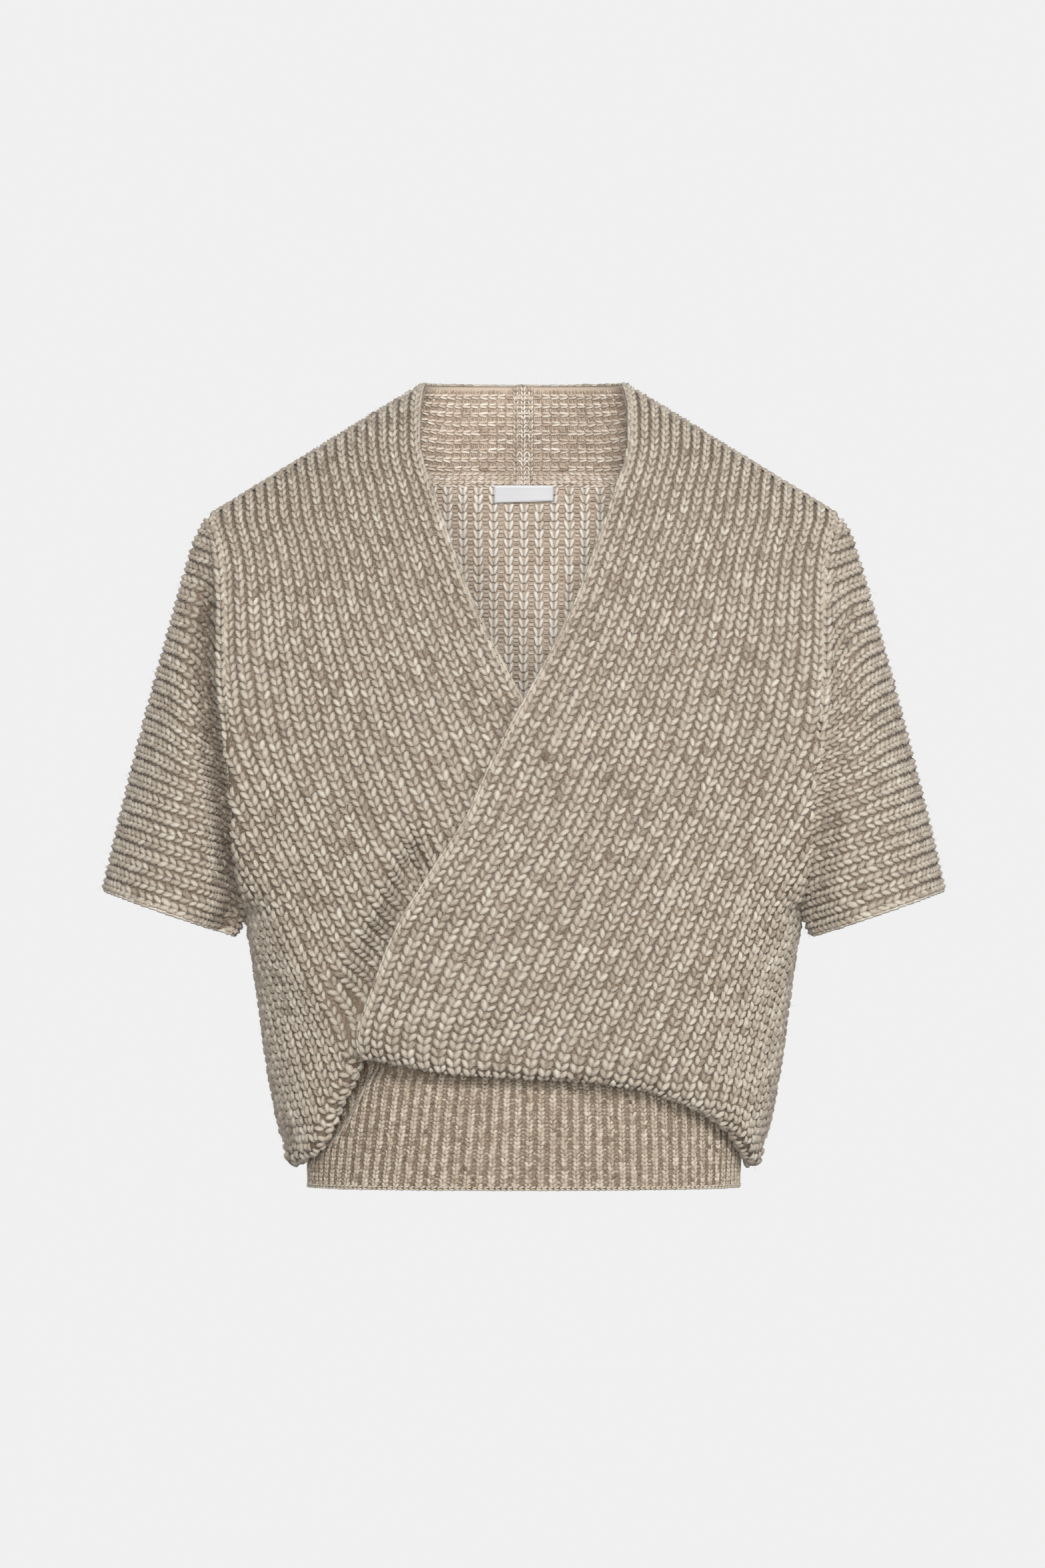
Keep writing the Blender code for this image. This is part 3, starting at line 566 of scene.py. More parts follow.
def linked(line: Array, across: tuple[float, float, float], turn: float, pitch: float,
           half_width: float = 0.004) -> Stitches:
    """Linked stitches along the line where two pieces meet.

    Args:
        line: Points of the seam.
        across: Direction across it.
        turn: 1 where across by the seam's run points outward, else -1.
        pitch: Height of a stitch.
        half_width: Half the width that the stitches cover.

    Returns:
        The stitches.
    """
    side = np.array(across) * half_width
    return walk(Patch(np.stack([line - side, line, line + side]), 0, turn), 1, pitch)


class Kernel:
    """One plump leg of a stitch: a closed form of a few faces, in shares of its size."""

    kept: dict[tuple[int, int], tuple[Array, list[tuple[int, ...]]]] = {}
    fullness = 0.6

    @classmethod
    def get(cls, sides: int, rings: int) -> tuple[Array, list[tuple[int, ...]]]:
        """Points and faces of a ball of yarn that the stitches are drawn out of.

        Args:
            sides: Faces round the yarn.
            rings: Rings of points between its two ends.

        Returns:
            Points of a unit ball along Z, and faces.
        """
        if (sides, rings) not in cls.kept:
            bpy.ops.object.select_all(action="DESELECT")
            bpy.ops.mesh.primitive_uv_sphere_add(segments=sides, ring_count=rings + 1, radius=1.0)
            ball = bpy.context.object
            points = np.array([v.co for v in ball.data.vertices])
            round_size = np.linalg.norm(points[:, :2], axis=1, keepdims=True)
            points[:, :2] *= np.maximum(round_size, 0.2) ** (cls.fullness - 1.0)
            faces = [tuple(p.vertices) for p in ball.data.polygons]
            mesh = ball.data
            bpy.data.objects.remove(ball)
            bpy.data.meshes.remove(mesh)
            cls.kept[(sides, rings)] = (points, faces)
        return cls.kept[(sides, rings)]


class Yarn:
    """Legs of yarn gathered from many stitches into one mesh."""

    patch_scale = 260.0
    rise = 0.00012
    bow_turn = 0.7
    spread_turn = 0.85
    bump_bow = 0.25
    map_room = 3.0
    map_skew = 1.7
    strand_length = 0.007
    strand_width = 0.0019
    strand_depth = 0.0007

    def __init__(self, seed: int, patch_tone: float = 0.055, stitch_tone: float = 0.085) -> None:
        """Start with no legs.

        Args:
            seed: Seed of the small differences between stitches.
            patch_tone: How far the tone runs up and down over a few stitches.
            stitch_tone: How far it differs from stitch to stitch.
        """
        self.patch_tone = patch_tone
        self.stitch_tone = stitch_tone
        self.random = np.random.default_rng(seed)
        self.points: list[Array] = []
        self.faces: list[Array] = []
        self.tones: list[Array] = []
        self.maps: list[Array] = []
        self.count = 0

    def legs(self, lot: Stitches, form: StitchForm, legs: Sequence[int] = (-1, 1),
             tone: Array | float = 0.5) -> None:
        """Add the legs of a lot of stitches.

        Args:
            lot: The stitches.
            form: Their sizes.
            legs: Which legs each has: -1 and 1 for a V, 0 for a bump across the rib.
            tone: Middle tone of the yarn, from brown (0) to cream (1), or one for each stitch.
        """
        total = len(lot.place)
        if not total:
            return
        ball, faces = Kernel.get(form.sides, form.rings)
        share = (ball[:, 2] + 1.0) / 2.0
        heather = self.heather(lot.place)
        for leg in legs:
            size = 1.0 + form.jitter * self.random.standard_normal((total, 1))
            lean = form.jitter * self.random.standard_normal((total, 1))
            rise = self.rise * self.random.standard_normal((total, 1))
            width = lot.half_width[:, None]
            bow = np.sin(math.pi * np.clip(share, 0.02, 0.98)) ** self.bow_turn
            lift = form.arch * bow - form.sink + form.deep * ball[:, 1] * size + rise
            if leg:
                middle = mix(form.inner, form.outer, share**self.spread_turn)
                middle = middle + form.thick * ball[:, 0] * size
                across = leg * width * middle + lean * width * share
                up = form.height * size * form.long * (share - 0.5)
            else:
                across = width * size * (share * 2.0 - 1.0)
                up = form.height * form.thick * ball[:, 0] * size
                up = up - self.bump_bow * form.height * (bow - 0.5)
            lift = lift + 0.5 * lot.bend[:, None] * up**2
            points = (
                lot.place[:, None, :]
                + lot.across[:, None, :] * across[..., None]
                + lot.up[:, None, :] * up[..., None]
                + lot.out[:, None, :] * lift[..., None]
            )
            self.add(points, faces, ball, share, tone + heather[:, None])

    def heather(self, place: Array) -> Array:
        """Soft patches where the wool runs browner or creamier."""
        x, y, z = place.T * self.patch_scale
        wide = np.sin(x + 1.7 * np.sin(0.61 * z))
        wide = wide * np.sin(1.1 * z + 2.1 * np.sin(0.53 * x + 0.4 * y))
        fine = np.sin(2.9 * x + 1.3 * z + y) * np.sin(3.7 * z - 1.9 * x)
        return self.patch_tone * (wide + 0.7 * fine)

    def add(self, points: Array, faces: list[tuple[int, ...]], ball: Array, share: Array,
            tone: Array) -> None:
        """Add copies of one form.

        Args:
            points: Points of each copy.
            faces: Faces of one copy.
            ball: Points of the form they were drawn out of.
            share: Place of each of its points along the yarn.
            tone: Middle tone of each copy.
        """
        total, size = points.shape[:2]
        first = self.count + np.arange(total)[:, None] * size
        a, b, c = (points[0, faces[0][i]] - points[0].mean(axis=0) for i in range(3))
        turned = np.dot(np.cross(a, b), c) < 0.0
        for face in faces:
            loop = face[::-1] if turned else face
            self.faces.append(first + np.array(loop)[None, :])
        tones = tone + self.stitch_tone * self.random.standard_normal((total, 1))
        self.points.append(points.reshape(-1, 3))
        self.tones.append(np.repeat(np.clip(tones, 0.0, 1.0), size, axis=1).ravel())
        place = self.random.random((total, 1)) * self.map_room
        u = place + share[None, :] * self.strand_length
        v = place * self.map_skew + ball[None, :, 0] * self.strand_width
        v = v + ball[None, :, 1] * self.strand_depth
        self.maps.append(np.stack([u, v], axis=-1).reshape(-1, 2))
        self.count += total * size

    def build(self, name: str, side: Side, material: bpy.types.Material,
              slot: str) -> bpy.types.Object:
        """One mesh of all the legs, riding on the sweater.

        Args:
            name: Name of the piece.
            side: The left is the mirrored one.
            material: Its finish.
            slot: Not used.

        Returns:
            The piece.
        """
        points = np.concatenate(self.points)
        return mesh_piece(
            name, points, self.faces, side, material,
            tones=np.concatenate(self.tones), maps=np.concatenate(self.maps),
        )


def mesh_piece(name: str, points: Array, faces: Sequence[Array], side: Side,
               material: bpy.types.Material, tones: Array | None = None,
               maps: Array | None = None) -> bpy.types.Object:
    """Make a smooth mesh that rides on the sweater.

    Args:
        name: Name of the piece.
        points: Its points.
        faces: Arrays of faces, each with all its faces of one size.
        side: The left is the mirrored one.
        material: Its finish.
        tones: Tone of the yarn at each point, or None for a plain half.
        maps: Place in the yarn's own map of each point, or None.

    Returns:
        The piece.
    """
    if side is Side.LEFT:
        points = points * np.array([-1.0, 1.0, 1.0])
    mesh = bpy.data.meshes.new(name)
    sizes = np.concatenate([np.full(len(f), f.shape[1]) for f in faces])
    loops = np.concatenate([(f[:, ::-1] if side is Side.LEFT else f).ravel() for f in faces])
    mesh.vertices.add(len(points))
    mesh.vertices.foreach_set("co", points.astype(np.float32).ravel())
    mesh.loops.add(len(loops))
    mesh.loops.foreach_set("vertex_index", loops.astype(np.int32))
    mesh.polygons.add(len(sizes))
    starts = np.concatenate([[0], np.cumsum(sizes)[:-1]])
    mesh.polygons.foreach_set("loop_start", starts.astype(np.int32))
    mesh.polygons.foreach_set("loop_total", sizes.astype(np.int32))
    mesh.polygons.foreach_set("use_smooth", np.ones(len(sizes), dtype=bool))
    if tones is None:
        tones = np.full(len(points), 0.5)
    tone = mesh.attributes.new("tone", "FLOAT", "POINT")
    tone.data.foreach_set("value", tones.astype(np.float32))
    if maps is not None:
        yarn = mesh.uv_layers.new(name="yarn")
        yarn.data.foreach_set("uv", maps[loops].astype(np.float32).ravel())
    mesh.update(calc_edges=True)
    mesh.validate()
    mesh.materials.append(material)
    piece = bpy.data.objects.new(name, mesh)
    bpy.context.scene.collection.objects.link(piece)
    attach(piece, "root")
    LOG.info("%s: %d faces", name, len(mesh.polygons))
    return piece


def shell(points: Array, turn: float, wall: float, lift: Array | float = 0.0,
          closed: bool = False) -> tuple[Array, list[Array]]:
    """A closed wall on a grid of points.

    Args:
        points: The grid, with no number where there is no cloth.
        turn: 1 where across by up points outward, else -1.
        wall: Thickness of the cloth.
        lift: How far each outer point is raised.
        closed: Whether the last column joins the first.

    Returns:
        Points, and arrays of faces.
    """
    here = ~np.isnan(points[..., 0])
    number = np.cumsum(here).reshape(here.shape) - 1
    after = np.roll(number, -1, axis=0)
    after_here = np.roll(here, -1, axis=0)
    if not closed:
        after_here[-1] = False
    whole = here[:, :-1] & here[:, 1:] & after_here[:, :-1] & after_here[:, 1:]
    faces = np.stack([number[:, :-1], after[:, :-1], after[:, 1:], number[:, 1:]], axis=-1)[whole]
    if turn < 0.0:
        faces = faces[:, ::-1]
    base = points[here]
    total = len(base)
    corners = base[faces]
    ways = np.cross(corners[:, 2] - corners[:, 0], corners[:, 3] - corners[:, 1])
    out = np.zeros_like(base)
    for i in range(4):
        np.add.at(out, faces[:, i], ways)
    out = unit(out)
    raised = np.broadcast_to(lift, here.shape)[here]
    walls = np.concatenate([base + out * raised[:, None], base - out * wall])
    a = faces.ravel()
    b = np.roll(faces, -1, axis=1).ravel()
    open_edge = ~np.isin(a * total + b, b * total + a)
    a, b = a[open_edge], b[open_edge]
    rims = np.stack([b, a, a + total, b + total], axis=1)
    return walls, [faces, faces[:, ::-1] + total, rims]


def inner_share(walls: Array) -> Array:
    """0 for the outer points of a shell and 1 for its inner ones."""
    half = len(walls) // 2
    return np.concatenate([np.zeros(half), np.ones(half)])


@dataclass
class BodyPanel:
    """A ribbed panel of the body: a front with its half collar, or the whole back."""

    name: str
    form: BodyForm
    face: Face
    side: Side
    folds: Rows
    cut: tuple[float, float, float]
    rib_slants: Rows = ()
    over: float = 0.0
    under: float = 0.0
    lap_more: float = 0.0
    creases: tuple[Crease, ...] = ()
    lap: float = 0.0005
    lap_z: float = -0.431
    lap_lower: float = 0.0032
    fold_up: float = 0.012
    shift_start: float = 0.035
    shift_reach: float = 0.025
    wall_thickness: float = 0.0028
    crest: float = 0.0010
    lower_points: int = 120
    upper_points: int = 60
    collar_points: int = 60
    shell_rows: tuple[int, int, int] = (46, 20, 18)
    edge_follow: int = 24
    least_half_width: float = 0.0020
    fold_drop: float = 0.0022
    fold_passes: int = 20
    stretch: float = 0.11
    stretch_z: float = -0.17
    stretch_reach: float = 0.12
    ease_points: float = 26.0
    ease_passes: int = 90
    furthest_column: float = -40.0
    end_steps: int = 240
    least_rise: float = 0.004
    armhole_steps: int = 400
    upright_reach: float = 0.06
    fold_guess: float = -0.47
    fold_tries: int = 16
    fold_step: float = 0.6
    fold_reach: float = 0.07
    fold_shares: tuple[float, float, float] = (0.22, 0.55, 0.86)
    fold_round: float = 0.002
    fold_half: float = 0.33
    lap_rise: float = 0.010
    lap_more_start: float = 0.39
    lap_more_reach: float = 0.08
    collar_spread: float = 1.5
    top_skip: float = 0.001

    def __post_init__(self) -> None:
        """Lay out the panel's patches."""
        self.fold = Profile(self.folds)
        self.first_column = 0
        if self.rib_slants:
            self.slant = Profile(self.rib_slants)
            self.first_column = self.find_first_column()
        side_columns = np.arange(self.first_column, SIDE_COLUMNS + 1, dtype=float)
        main_columns = np.arange(SIDE_COLUMNS, EDGE_COLUMNS + 1, dtype=float)
        side = self.lower(side_columns, ends_at_armhole=True)
        main = np.concatenate([self.lower(main_columns), self.upper(main_columns)[:, 1:]], axis=1)
        main = self.ease(main)
        turn = 1.0 if self.face is Face.FRONT else -1.0
        self.side_patches = [Patch(side, self.first_column, turn)]
        self.collar: Patch | None = None
        if self.face is Face.BACK:
            other = main[-2::-1] * np.array([-1.0, 1.0, 1.0])
            main = np.concatenate([main, other])
            side_other = side[::-1] * np.array([-1.0, 1.0, 1.0])
            self.side_patches.append(Patch(side_other, 2 * EDGE_COLUMNS - SIDE_COLUMNS, turn))
        else:
            self.collar = Patch(self.collar_lines(), NECK_COLUMN, turn)
        self.main = Patch(main, SIDE_COLUMNS, turn)
        creases = [self.placed(item) for item in self.creases]
        for patch in (*self.side_patches, self.main):
            patch.crease(creases)

    def placed(self, crease: Crease) -> Crease:
        """The crease as it lies before the left front is mirrored."""
        if self.side is Side.RIGHT:
            return crease
        (ax, az), (bx, bz) = crease.start, crease.end
        return Crease((-ax, az), (-bx, bz), crease.width, crease.height)

    def shift(self, x: Array, z: Array) -> Array:
        """Outward shift where one front lies over the other."""
        share = smooth((x - self.form.front_edge(z) + self.shift_start) / self.shift_reach)
        return (self.over - self.under) * share

    def find_first_column(self) -> int:
        """The even column that lies along the side seam at the fold."""
        columns = np.arange(self.furthest_column, SIDE_COLUMNS, 2.0)
        z = np.full(len(columns), self.folds[0][1] + self.fold_up)
        return int(columns[self.slanted(columns, z) > 0.0][0]) - 2

    def slanted(self, column: Array, z: Array) -> Array:
        """Length from the side seam to slanting ribs, below 0 where they are past it.

        Args:
            column: Column of each rib.
            z: Height of the place on it.

        Returns:
            The lengths across the section.
        """
        form = self.form
        turn = np.full(len(column), ARMHOLE_TURN_Z)
        share = np.clip((column - SIDE_COLUMNS) / MAIN_COLUMNS, 0.0, 1.0)
        wide = form.half_width(ARMHOLE_TURN_Z)
        edge_x = -form.front_edge(ARMHOLE_TURN_Z)
        pitch = (wide + edge_x) / MAIN_COLUMNS
        start = form.from_middle(mix(-wide, edge_x, share), turn, self.face)
        start = start - pitch * np.maximum(SIDE_COLUMNS - column, 0.0)
        edge_move = form.from_middle(-form.front_edge(z), z, self.face)
        edge_move = edge_move - form.from_middle(np.full(len(column), edge_x), turn, self.face)
        follow = smooth((column - EDGE_COLUMNS + self.edge_follow) / self.edge_follow)
        move = mix(self.slant(z), edge_move, follow)
        half = form.from_middle(form.half_width(z), z, self.face)
        return start + move + half

    def slanted_ends(self, columns: Array, low: Array) -> Array:
        """Heights at which slanting ribs reach the side seam or the armhole.

        Args:
            columns: Numbers of the columns.
            low: Heights of their lower ends.

        Returns:
            Heights.
        """
        steps = np.linspace(0.0, 1.0, self.end_steps)
        z = mix(low[:, None], ARMHOLE_TURN_Z, steps[None, :])
        grid = np.broadcast_to(columns[:, None], z.shape)
        lengths = self.slanted(grid.ravel(), z.ravel()).reshape(z.shape)
        inside = np.minimum.accumulate(lengths > 0.0, axis=1)
        last = np.maximum(inside.sum(axis=1) - 1, 1)
        end = z[np.arange(len(columns)), last]
        end[-1] = ARMHOLE_TURN_Z
        return np.maximum(end, low + self.least_rise)

    def wall(self, column: Array, z: Array) -> tuple[Array, Array]:
        """Points of ribs on the panel's wall.

        Args:
            column: Column of each point.
            z: Its height.

        Returns:
            The points, and the share of half the section's length that each lies at.
        """
        form = self.form
        xs, ys, lengths = form.sections(z, self.face)
        half = lengths[:, -1] / 2.0
        edge = half
        if self.face is Face.FRONT:
            edge, _ = pick(lengths, lengths, xs, -form.front_edge(z))
        ended = form.armhole_column(z)
        reach = form.side_reach(z)
        share = np.clip((column - SIDE_COLUMNS) / MAIN_COLUMNS, 0.0, None)
        beside = reach * (column - ended) / np.maximum(SIDE_COLUMNS - ended, 1e-6)
        length = np.where(column <= SIDE_COLUMNS, np.maximum(beside, 0.0), mix(reach, edge, share))
        if self.rib_slants:
            length = np.maximum(self.slanted(column, z), 0.0)
        x, y = pick(xs, ys, lengths, length)
        edge_x = -form.half_width(z)
        if self.face is Face.FRONT:
            straight = mix(edge_x, -form.front_edge(z), share)
        else:
            top = self.top(column)
            plain = edge_x * (1.0 - share)
            rise = (z - ARMHOLE_TURN_Z) / (top[:, 2] - ARMHOLE_TURN_Z)
            straight = mix(plain, top[:, 0], np.clip(rise, 0.0, 1.0))
        above = (z > ARMHOLE_TURN_Z) & (column >= SIDE_COLUMNS)
        upright = smooth((z - ARMHOLE_TURN_Z) / self.upright_reach)
        x = np.where(above, mix(x, straight, upright), x)
        y = np.where(above, form.depth(x, z, self.face), y)
        y = y + self.face.value * self.shift(x, z)
        return np.stack([x, y, z], axis=1), length / half

    def top(self, column: Array) -> Array:
        """Top end of each main column, on the shoulder line or the neck seam.

        Args:
            column: Numbers of the columns.

        Returns:
            One point a column.
        """
        if self.face is Face.FRONT:
            share = (column - SIDE_COLUMNS) / MAIN_COLUMNS
            x = mix(-TIP_X, -CORNER_X, share)
            return np.stack([x, np.zeros_like(x), self.form.shoulder_height(x)], axis=1)
        share = (column - SIDE_COLUMNS) / (BACK_NECK_COLUMN - SIDE_COLUMNS)
        x = mix(-TIP_X, -NECK_X, share)
        shoulder = np.stack([x, np.zeros_like(x), self.form.shoulder_height(x)], axis=1)
        steps = np.clip((column - BACK_NECK_COLUMN) / BACK_STEPS_PER_COLLAR_STEP, 0.0, COLLAR_STEPS)
        neck = self.form.neck_seam(steps)
        return np.where((column <= BACK_NECK_COLUMN)[:, None], shoulder, neck)

    def lower(self, columns: Array, ends_at_armhole: bool = False) -> Array:
        """Rib lines from the lap inside the blouse up to the armhole's turn.

        Args:
            columns: Their columns.
            ends_at_armhole: Whether they end at the armhole's edge.

        Returns:
            A line of points for each column.
        """
        low = np.full(len(columns), self.fold_guess)
        for _ in range(self.fold_tries):
            _, place = self.wall(columns, low)
            low = mix(low, self.fold(place) + self.fold_up, self.fold_step)
        end = np.full(len(columns), ARMHOLE_TURN_Z)
        if ends_at_armhole and self.rib_slants:
            end = self.slanted_ends(columns, low)
        elif ends_at_armhole:
            heights = np.linspace(ARMPIT_Z, ARMHOLE_TURN_Z, self.armhole_steps)
            end = np.interp(columns, self.form.armhole_column(heights), heights)
        steps = np.linspace(0.0, 1.0, self.lower_points)
        z = mix(low[:, None], end[:, None], steps[None, :])
        grid = np.broadcast_to(columns[:, None], z.shape)
        wall, _ = self.wall(grid.ravel(), z.ravel())
        wall = wall.reshape(*z.shape, 3)
        wall[..., 1] = self.face.value * np.maximum(self.face.value * wall[..., 1], HALF_GAP)
        fold = low - self.fold_up
        lap_more = smooth((place - self.lap_more_start) / self.lap_more_reach)
        lap = self.lap + self.lap_more * lap_more
        inside_top = self.form.band_point(place, np.full_like(place, self.lap_z), self.face, lap)
        inside = self.form.band_point(place, fold + self.lap_rise, self.face, lap + self.lap_lower)
        outside = wall[:, 0]
        bottom = []
        for share in self.fold_shares:
            point = mix(inside, outside, share)
            off = abs(share - self.fold_shares[1])
            point[:, 2] = fold - self.fold_drop + self.fold_round * off / self.fold_half
            bottom.append(point)
        start = np.stack([inside_top, inside, *bottom], axis=1)
        if ends_at_armhole:
            start[0, :, 1] = self.face.value * HALF_GAP
        lines = np.concatenate([start, wall], axis=1)
        lines = [resample(line, self.lower_points) for line in lines]
        return np.stack([soften(line, self.fold_passes, self.fold_reach) for line in lines])

    def upper(self, columns: Array) -> Array:
        """Rib lines from the armhole's turn up to the shoulder or the neck.

        Args:
            columns: Numbers of the columns.

        Returns:
            One line a column.
        """
        top = self.top(columns)
        steps = (1.0 - np.linspace(0.0, 1.0, 2 * self.upper_points)) ** 2
        z = mix(top[:, 2:3], ARMHOLE_TURN_Z, steps[None, :])
        grid = np.broadcast_to(columns[:, None], z.shape)
        wall, _ = self.wall(grid.ravel(), z.ravel())
        wall = wall.reshape(*z.shape, 3)
        wall[:, -1] = top
        wall[:, -1, 1] += self.face.value * HALF_GAP
        return np.stack([resample(line, self.upper_points) for line in wall])

    def ease(self, lines: Array) -> Array:
        """Round off the turn where the lower and upper parts of the ribs meet."""
        lines = lines.copy()
        off = np.abs(np.arange(lines.shape[1]) - (self.lower_points - 1.0))
        weight = 1.0 - smooth(off / self.ease_points)
        for _ in range(self.ease_passes):
            middle = (lines[:, :-2] + lines[:, 2:]) / 2.0
            lines[:, 1:-1] = mix(lines[:, 1:-1], middle, 0.5 * weight[None, 1:-1, None])
        return lines

    def collar_lines(self) -> Array:
        """Rib lines from the shoulder round the back of the neck to the middle.

        Returns:
            One line a column.
        """
        shares = np.linspace(0.0, 1.0, 2 * self.collar_points) ** self.collar_spread
        steps = COLLAR_STEPS * shares
        seam = self.form.neck_seam(steps)
        edge = self.form.collar_edge(steps)
        lines = []
        for column in range(NECK_COLUMN, EDGE_COLUMNS + 1):
            share = (column - NECK_COLUMN) / (EDGE_COLUMNS - NECK_COLUMN)
            line = mix(seam, edge, share)
            line[:, 2] += HALF_GAP * (column == NECK_COLUMN)
            line[-1, 0] = -HALF_GAP
            lines.append(resample(line, self.collar_points))
        return np.stack(lines)

    def grid(self) -> tuple[Array, Array]:
        """Points of the shell, and how far each is raised into a rib.

        Returns:
            The points, and the share of a rib's height at each.
        """
        low, high, round_neck = self.shell_rows
        width = EDGE_COLUMNS if self.face is Face.FRONT else 2 * EDGE_COLUMNS
        first = self.first_column
        points = np.full((width + 1 - first, low + high + round_neck + 1, 3), np.nan)
        lift = np.zeros(points.shape[:2])
        for patch in self.side_patches:
            for column, line in zip(patch.columns(), patch.points):
                points[column - first, : low + 1] = resample(line, low + 1)
        for column, line in zip(self.main.columns(), self.main.points):
            row = points[column - first]
            row[: low + 1] = resample(line[: self.lower_points], low + 1)
            row[low : low + high + 1] = resample(line[self.lower_points - 1 :], high + 1)
        if self.collar:
            for column, line in zip(self.collar.columns(), self.collar.points):
                points[column - first, low + high :] = resample(line, round_neck + 1)
        lift[1:-1:2] = self.crest
        lift[:, :2] = 0.0
        return points, lift

    def ribs(self, pitch: float) -> Stitches:
        """The stitches of all the ribs on the outer face.

        Args:
            pitch: Height of a stitch.

        Returns:
            The stitches.
        """
        lots = []
        for patch in (*self.side_patches, self.main, self.collar):
            if patch is None:
                continue
            for i, column in enumerate(patch.columns()):
                if column % 2 == 0:
                    continue
                lots.append(walk(patch, i, pitch, skip=(0.0, self.top_skip)))
        lot = Stitches.joined(lots)
        stretched = smooth((lot.place[:, 2] - self.stretch_z) / self.stretch_reach)
        lot.half_width *= 1.0 - self.stretch * stretched
        return lot.kept(lot.half_width > self.least_half_width)

    def build(self, material: bpy.types.Material) -> bpy.types.Object:
        """The panel's shell.

        Args:
            material: The finish.

        Returns:
            The piece.
        """
        points, lift = self.grid()
        turn = 1.0 if self.face is Face.FRONT else -1.0
        walls, faces = shell(points, turn, self.wall_thickness, lift)
        piece = mesh_piece(self.name + "_cloth", walls, faces, self.side, material,
                           tones=inner_share(walls))
        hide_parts(self.name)
        return piece


@dataclass
class Sleeve:
    """A sleeve whose ribs run round the arm, level with the cuff."""

    name: str
    form: BodyForm
    side: Side
    cut: tuple[float, float, float]
    pitch: float = 0.0098
    cuff_outer: tuple[float, float] = (-0.302, -0.334)
    cuff_inner: tuple[float, float] = (-0.2095, -0.366)
    cuff_half_depth: float = 0.072
    cuff_power: float = 2.2
    swells: Rows = (
        (0.0, 0.0), (0.2, 0.0025), (0.5, 0.0047), (0.8, 0.0052), (0.93, 0.0045), (1.0, 0.0),
    )
    swell_fade: float = 0.15
    wall_thickness: float = 0.0028
    count: int = 160
    rows: int = 32
    creases: tuple[Crease, ...] = ()
    dip: float = 0.010
    back_dip: float = 0.008
    dip_place: float = 0.0115
    dip_reach: float = 0.0100
    dip_top_z: float = -0.075
    dip_most: float = 0.6
    slant_drop: float = 0.030
    slant_start: float = 0.06
    slant_reach: float = 0.16
    seam_reach: float = 0.0046
    seam_lift: float = 0.0008
    under_reach: float = 1.5
    under_steps: int = 8
    crease_fade: float = 4.0
    fold_start: float = 0.004
    fold_fade: float = 0.07
    spare_columns: int = 8
    least_room: float = 0.0005
    row_spread: float = 1.4
    raised: float = 0.0004

    def __post_init__(self) -> None:
        """Find the armhole's line, the cuff's ring and the rib lines."""
        outer = np.array([self.cuff_outer[0], 0.0, self.cuff_outer[1]])
        inner = np.array([self.cuff_inner[0], 0.0, self.cuff_inner[1]])
        self.centre = (outer + inner) / 2.0
        self.half_width = np.linalg.norm(outer - inner) / 2.0
        self.inward = unit(inner - outer)
        axis = np.array([-self.inward[2], 0.0, self.inward[0]])
        front = self.form.armhole(Face.FRONT, 200)
        back = self.form.armhole(Face.BACK, 200)
        seam = resample(np.concatenate([front, back[-2::-1]]), self.count)
        away = np.array([-1.0, 0.0, 0.0]) * HALF_GAP * 2.0
        self.seam = seam + away
        self.places = np.linspace(0.0, 1.0, self.count)
        under = np.linspace(0.0, self.under_reach, self.under_steps)[:, None]
        under = mix(self.seam[0], inner, under)
        self.fold_line = np.concatenate([self.seam, under])[:, (0, 2)]
        self.tall = (self.seam - self.centre) @ axis
        self.ring, self.ring_out = self.cuff(self.places)
        columns = int(self.tall.max() / self.pitch * 2.0) + 1
        levels = np.arange(columns + self.spare_columns) * self.pitch / 2.0
        inward = 1.0 - np.sin(math.pi * self.places) ** 2
        drop = self.slant_drop * smooth((levels - self.slant_start) / self.slant_reach)
        self.levels = levels[:, None] - drop[:, None] * smooth(inward * 2.0)[None, :]
        self.patch = Patch(np.stack([self.line(heights) for heights in self.levels]), 0, 1.0)

    def cuff(self, places: Array) -> tuple[Array, Array]:
        """Points of the cuff's edge and the ways out from them.

        Args:
            places: Shares of the way round the arm.

        Returns:
            The points, and a way out for each.
        """
        turn = 2.0 * math.pi * places
        power = 2.0 / self.cuff_power
        across = np.sign(np.cos(turn)) * np.abs(np.cos(turn)) ** power
        deep = -np.sign(np.sin(turn)) * np.abs(np.sin(turn)) ** power
        points = self.centre + self.inward * (across * self.half_width)[:, None]
        points[:, 1] = deep * self.cuff_half_depth
        out = self.inward * across[:, None]
        out[:, 1] = deep * self.half_width / self.cuff_half_depth
        return points, unit(out)

    def line(self, heights: Array) -> Array:
        """Points at given heights above the cuff, one for each place round the arm.

        Args:
            heights: Shares of the way from the cuff to the seam.

        Returns:
            The points.
        """
        share = heights / self.tall
        long_way = np.minimum(1.0, self.tall / self.swell_fade)
        swell = Profile(self.swells)(share) * long_way
        points = mix(self.ring, self.seam, share[:, None])
        ends = smooth(share * self.crease_fade) * smooth((1.0 - share) * self.crease_fade)
        for crease in self.creases:
            swell = swell + crease.lift(points) * ends
        points = points + self.ring_out * swell[:, None]
        points[:, 1] -= np.sign(points[:, 1]) * self.trough(points)
        return points

    def fold_share(self, points: Array) -> Array:
        """Share of the full fold between the sleeve and the body's side at each point."""
        flat = points[:, None, (0, 2)] - self.fold_line[None, :, :]
        off = np.min(np.linalg.norm(flat, axis=-1), axis=1)
        form = np.exp(-(((off - self.dip_place) / self.dip_reach) ** 2))
        form = form * smooth(off / self.fold_start)
        return form * smooth((self.dip_top_z - points[:, 2]) / self.fold_fade)

